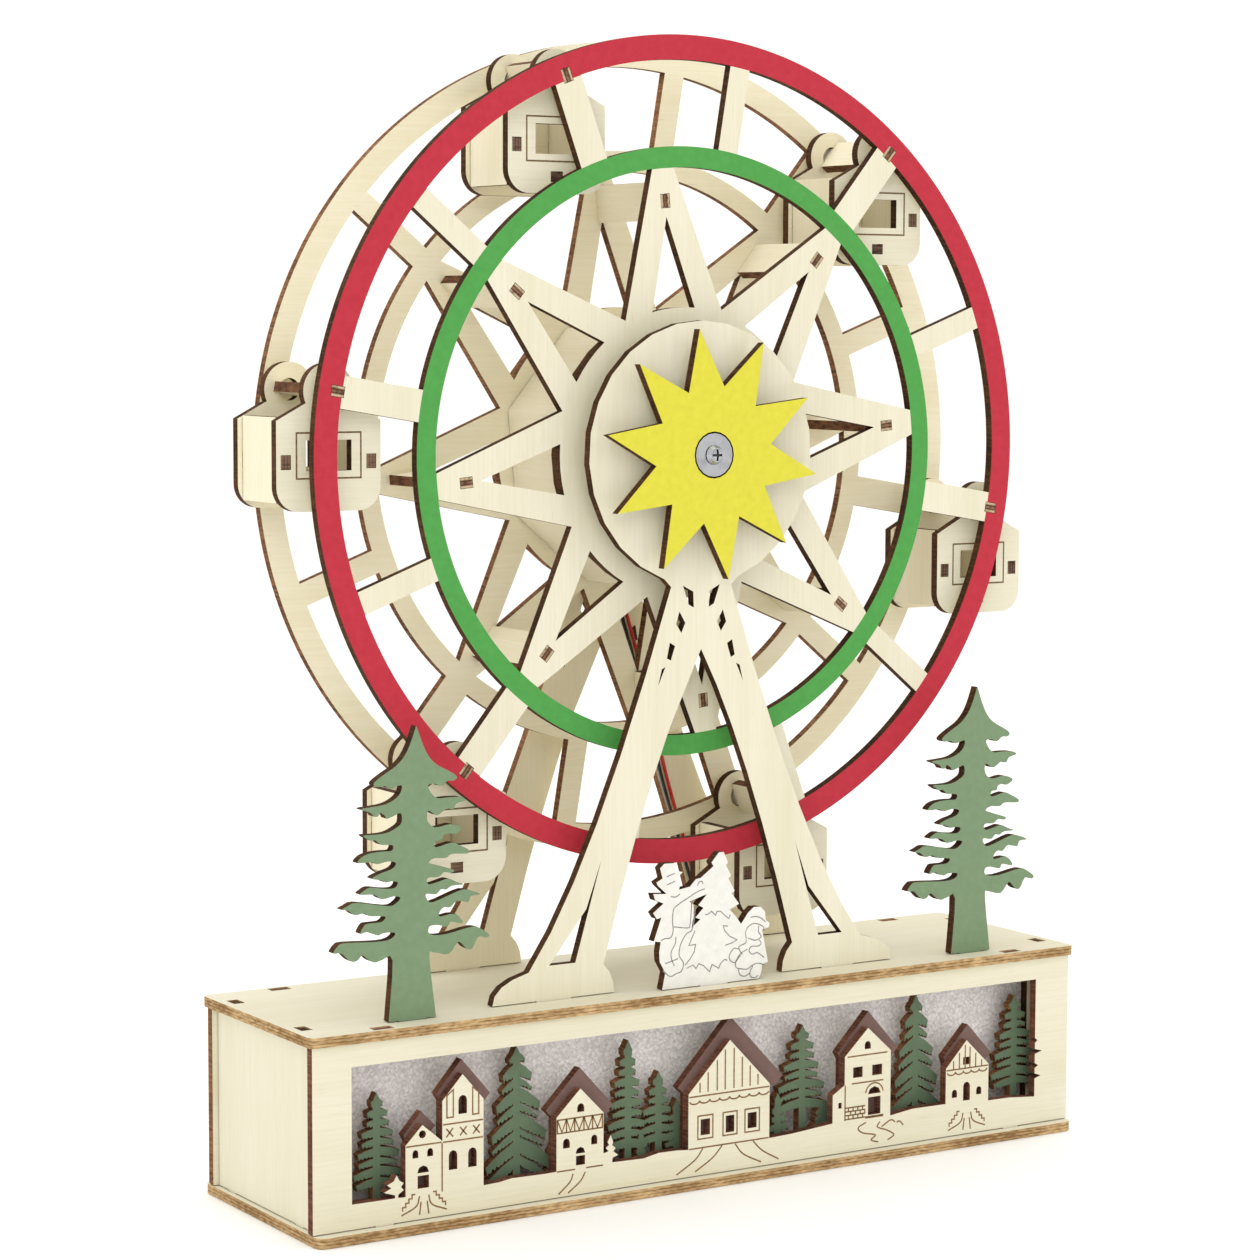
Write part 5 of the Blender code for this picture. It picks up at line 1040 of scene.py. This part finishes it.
def village_lines():
    """The engraved lines of the houses and the ground on the front wall."""
    lines = [[(-106.2, 24.9), (-94.6, 24.9)], [(-94.5, 10.4), (-94.5, 24.6)]]
    lines += small_house_steps(-100.4)
    for left, right, top_left, top_right in ((-92.9, -90.8, 38.2, 39.8), (-84.4, -82.4, 39.8, 38.2)):
        lines.append(closed([(left, 31.8), (right, 31.8), (right, top_right), (left, top_left)]))
    lines += [[(-94.2, z), (-81.0, z)] for z in (24.8, 29.9)]
    for x in (-92.0, -87.5, -83.2):
        lines += [[(x - 1.1, 26.1), (x + 1.1, 28.6)], [(x - 1.1, 28.6), (x + 1.1, 26.1)]]
    lines += [[(-56.0, z), (-40.2, z)] for z in (22.4, 26.4)]
    uprights = (-55.9, -52.8, -50.0, -46.8, -43.8, -40.4)
    lines += [[(x, 22.4), (x, 26.4)] for x in uprights]
    for left, right in zip(uprights, uprights[1:]):
        lines.append([(left, 26.4), ((left + right) / 2, 22.6), (right, 26.4)])
    lines += [[(-56.0, 11.0), (-49.8, 11.0)], [(-46.0, 11.0), (-40.2, 11.0)]]
    lines.append(smooth([(-50.5, 9.8), (-51.6, 7.4), (-55.5, 4.2)]))
    lines.append(smooth([(-46.3, 9.8), (-48.0, 7.2), (-52.2, 4.2)]))
    big = ((-10.0, 28.5), (4.9, 43.6), (19.5, 28.5))
    lines += siding((-5.9, -3.0, 0.3, 3.2, 6.4, 9.4, 12.3, 15.2), 28.6, *big, 1.0)
    lines += [[(-9.8, 27.6), (19.3, 27.6)], scallops(-9.6, 19.2, 26.2, 3.5), [(-9.8, 11.7), (19.3, 11.7)]]
    for left, right in ((-5.6, -2.2), (3.5, 6.6), (11.5, 14.8)):
        lines.append(closed(corners(left - 1.0, 14.4, right + 1.0, 21.5)))
    paths = (
        ((-4.8, 11.4), (-7.6, 8.2), (-14.2, 4.5)), ((2.2, 11.4), (-1.4, 8.0), (-7.5, 4.6)),
        ((6.9, 11.4), (10.0, 7.8), (16.5, 4.5)), ((13.5, 11.4), (17.0, 8.0), (23.0, 4.6)),
    )
    lines += [smooth(path) for path in paths]
    lines += [[(48.7, 33.2), (64.0, 33.2)], [(50.4, 24.6), (62.5, 24.6)], [(47.9, 13.2), (47.9, 24.4)]]
    lines += [[(47.9, z), (55.6, z)] for z in (13.6, 14.8, 16.0, 17.2)]
    for row in range(3):
        z = 13.6 + 1.2 * row
        shift = 0.9 * (row % 2)
        lines += [[(x + shift, z), (x + shift, z + 1.2)] for x in (49.2, 51.0, 52.8, 54.6)]
    lines.append(closed(corners(55.9, 13.2, 62.4, 13.5)))
    lines.append(arc((59.1, 20.6), 3.4, 8, 172, 10))
    winding = (
        ((56.0, 11.8), (53.0, 10.4), (54.8, 8.6), (59.6, 7.4), (58.0, 6.0), (60.8, 5.0)),
        ((61.4, 11.4), (60.4, 9.8), (64.0, 8.4), (66.8, 6.6), (64.4, 5.2)),
        ((62.0, 9.7), (65.5, 11.4), (67.2, 10.6)), ((67.8, 10.4), (69.0, 10.6), (70.4, 9.2)),
    )
    lines += [smooth(path) for path in winding]
    small = ((87.0, 25.0), (95.1, 33.4), (104.0, 24.8))
    lines += siding((90.0, 92.3, 94.6, 96.5, 98.8, 101.2), 24.4, *small, 0.9)
    lines += [scallops(87.6, 103.4, 23.6, 2.9), [(87.2, 24.4), (103.8, 24.4)]]
    lines += small_house_steps(95.5)
    return lines


def snowman_lines():
    """The drawn lines of the snowman, the tree and the child."""
    hat = [[(-15.1, 94.5), (-12.3, 95.3)], [(-15.1, 92.0), (-12.2, 92.9)]]
    curves = (
        ((-13.7, 88.4), (-11.9, 88.1), (-10.3, 88.9)),
        ((-4.1, 90.8), (-3.7, 91.7), (-2.7, 92.1), (-2.1, 91.2)),
        ((-1.5, 89.7), (-4.2, 89.0), (-7.5, 87.4), (-10.1, 86.2), (-12.1, 85.0), (-12.8, 83.9),
         (-13.0, 80.8), (-12.8, 77.7), (-13.7, 75.9), (-15.8, 75.8), (-17.1, 75.3)),
        ((-6.2, 85.7), (-6.4, 82.0), (-6.8, 79.0), (-7.6, 78.3), (-12.6, 79.1)),
        ((-4.9, 84.4), (-5.3, 80.1), (-6.2, 77.4), (-7.8, 76.7), (-9.3, 74.9), (-10.4, 72.5),
         (-10.5, 70.0), (-9.0, 67.7), (-9.8, 65.3), (-11.6, 64.8), (-13.4, 64.1), (-14.7, 64.7),
         (-16.3, 66.2)),
        ((-11.8, 76.0), (-12.0, 73.9), (-13.3, 71.8), (-13.4, 69.7), (-12.3, 67.2)),
        ((-15.6, 68.2), (-13.3, 68.7), (-10.9, 69.3)),
        ((15.3, 79.4), (17.4, 79.5), (19.3, 78.7), (20.8, 77.5)),
        ((13.7, 73.0), (13.5, 75.2), (14.8, 76.9), (17.0, 77.4), (19.7, 76.3), (20.4, 74.8)),
        ((18.3, 76.6), (18.2, 74.7), (19.2, 73.1), (17.1, 72.2), (14.4, 73.1)),
        ((18.4, 72.2), (19.2, 71.2), (18.2, 70.3), (15.6, 70.4), (14.8, 69.1), (16.0, 68.0), (17.8, 68.3),
         (20.3, 66.6)),
        ((13.6, 72.7), (13.5, 71.7), (11.1, 70.8), (11.5, 69.3), (12.3, 68.3)),
        ((14.2, 69.7), (12.2, 68.9), (10.7, 67.6), (9.8, 65.8), (10.2, 64.4), (11.9, 63.9), (14.1, 63.6),
         (16.0, 64.6), (18.2, 65.0), (20.8, 64.1)),
        ((10.8, 70.1), (9.2, 70.4), (7.6, 68.5), (7.9, 66.9), (9.6, 66.1), (11.7, 68.1)),
        ((10.9, 64.0), (11.5, 62.1), (13.4, 61.5), (15.3, 62.4)),
        ((16.2, 64.4), (15.1, 62.4), (15.6, 61.0), (17.2, 60.7), (18.2, 61.3)),
    )
    tree = [
        [(-1.4, 81.8), (-0.5, 81.7), (1.0, 82.6), (2.5, 81.2), (3.0, 82.4), (4.3, 82.3), (5.8, 80.9),
         (7.3, 79.8), (7.8, 80.9)],
        [(7.0, 77.5), (5.3, 77.8), (5.8, 76.2), (7.7, 74.3), (10.3, 73.0), (8.5, 72.2), (6.0, 71.7)],
        [(-4.9, 77.2), (-6.3, 74.6), (-7.1, 72.9), (-4.7, 73.0), (-5.2, 70.7), (-6.7, 68.7), (-8.5, 67.0)],
        [(-7.9, 66.0), (-5.6, 66.8), (-4.5, 65.6), (-3.5, 67.0), (-1.9, 66.3), (0.4, 64.2), (1.3, 66.3),
         (3.7, 64.9), (4.4, 66.3), (5.9, 67.4), (6.8, 67.0)],
    ]
    return hat + [smooth(points, 4) for points in curves] + tree


def make_engravings():
    """The drawn and burnt lines of the village, the snowman scene and the cabins' windows."""
    engraving("village_engraving", village_lines(), "base_front_panel", "root",
              engraved_material("village_scorch", SCORCH))
    snowman = engraving("snowman_drawing", snowman_lines(), "snowman_scene", "root",
                        engraved_material("snowman_pencil", PENCIL), FINE_LINE_WIDTH)
    look = engraved_material("cabin_frame_scorch", CABIN_SCORCH)
    for number in CABIN_NUMBERS:
        x, z = cabin_place(number)
        line = closed(rectangle(x, z - WINDOW_DROP, *FRAME_SIZE))
        for side in ("front", "rear"):
            engraving(f"cabin_{number}_{side}_frame", [line], f"cabin_{number}_{side}_plate",
                      f"cabin_{number}", look, CABIN_LINE_WIDTH, side == "rear")


def make_camera():
    data = bpy.data.cameras.new("camera")
    data.lens = CAMERA_LENS
    data.sensor_width = CAMERA_SENSOR
    data.clip_start = 0.01
    camera = put_in_scene("camera", data)
    place = Vector(CAMERA_PLACE) * MM
    look = (Vector(CAMERA_TARGET) * MM - place).to_track_quat("-Z", "Y").to_matrix().to_4x4()
    roll = Matrix.Rotation(math.radians(CAMERA_ROLL), 4, "Z")
    camera.rotation_euler = (look @ roll).to_euler()
    camera.location = place
    bpy.context.scene.camera = camera


def add_light(name, place, size, power, tint):
    data = bpy.data.lights.new(name, "AREA")
    data.shape = "RECTANGLE"
    data.size, data.size_y = size
    data.energy = power
    data.color = tint
    light = put_in_scene(name, data)
    light.location = place
    light.rotation_euler = (Vector(LIGHT_TARGET) - Vector(place)).to_track_quat("-Z", "Y").to_euler()


def make_studio():
    """A pale floor, a bright surround and soft lights."""
    material, tree, shader, place = new_material("studio_floor_paint")[:4]
    mottle = noise(tree, place, (3, 3, 3), 2.0)
    tree.links.new(blend(tree, mottle, FLOOR_DARK, FLOOR_LIGHT), shader.inputs["Base Color"])
    shader.inputs["Roughness"].default_value = 0.9
    shape = bmesh.new()
    bmesh.ops.create_grid(shape, x_segments=8, y_segments=8, size=FLOOR_SIZE)
    floor = new_object("studio_floor", shape, material)
    floor.location.z = -FLOOR_DROP

    world = bpy.data.worlds.new("studio")
    world.use_nodes = True
    background = world.node_tree.nodes["Background"]
    background.inputs["Color"].default_value = colour(WORLD_COLOUR)
    background.inputs["Strength"].default_value = WORLD_STRENGTH
    bpy.context.scene.world = world
    for sizes in LIGHTS:
        add_light(*sizes)
    bpy.context.scene.view_settings.view_transform = "Standard"


make_camera()
make_studio()
dress_frame()
make_firs()
make_wheel_plates()
make_cabin_plates()
make_engravings()
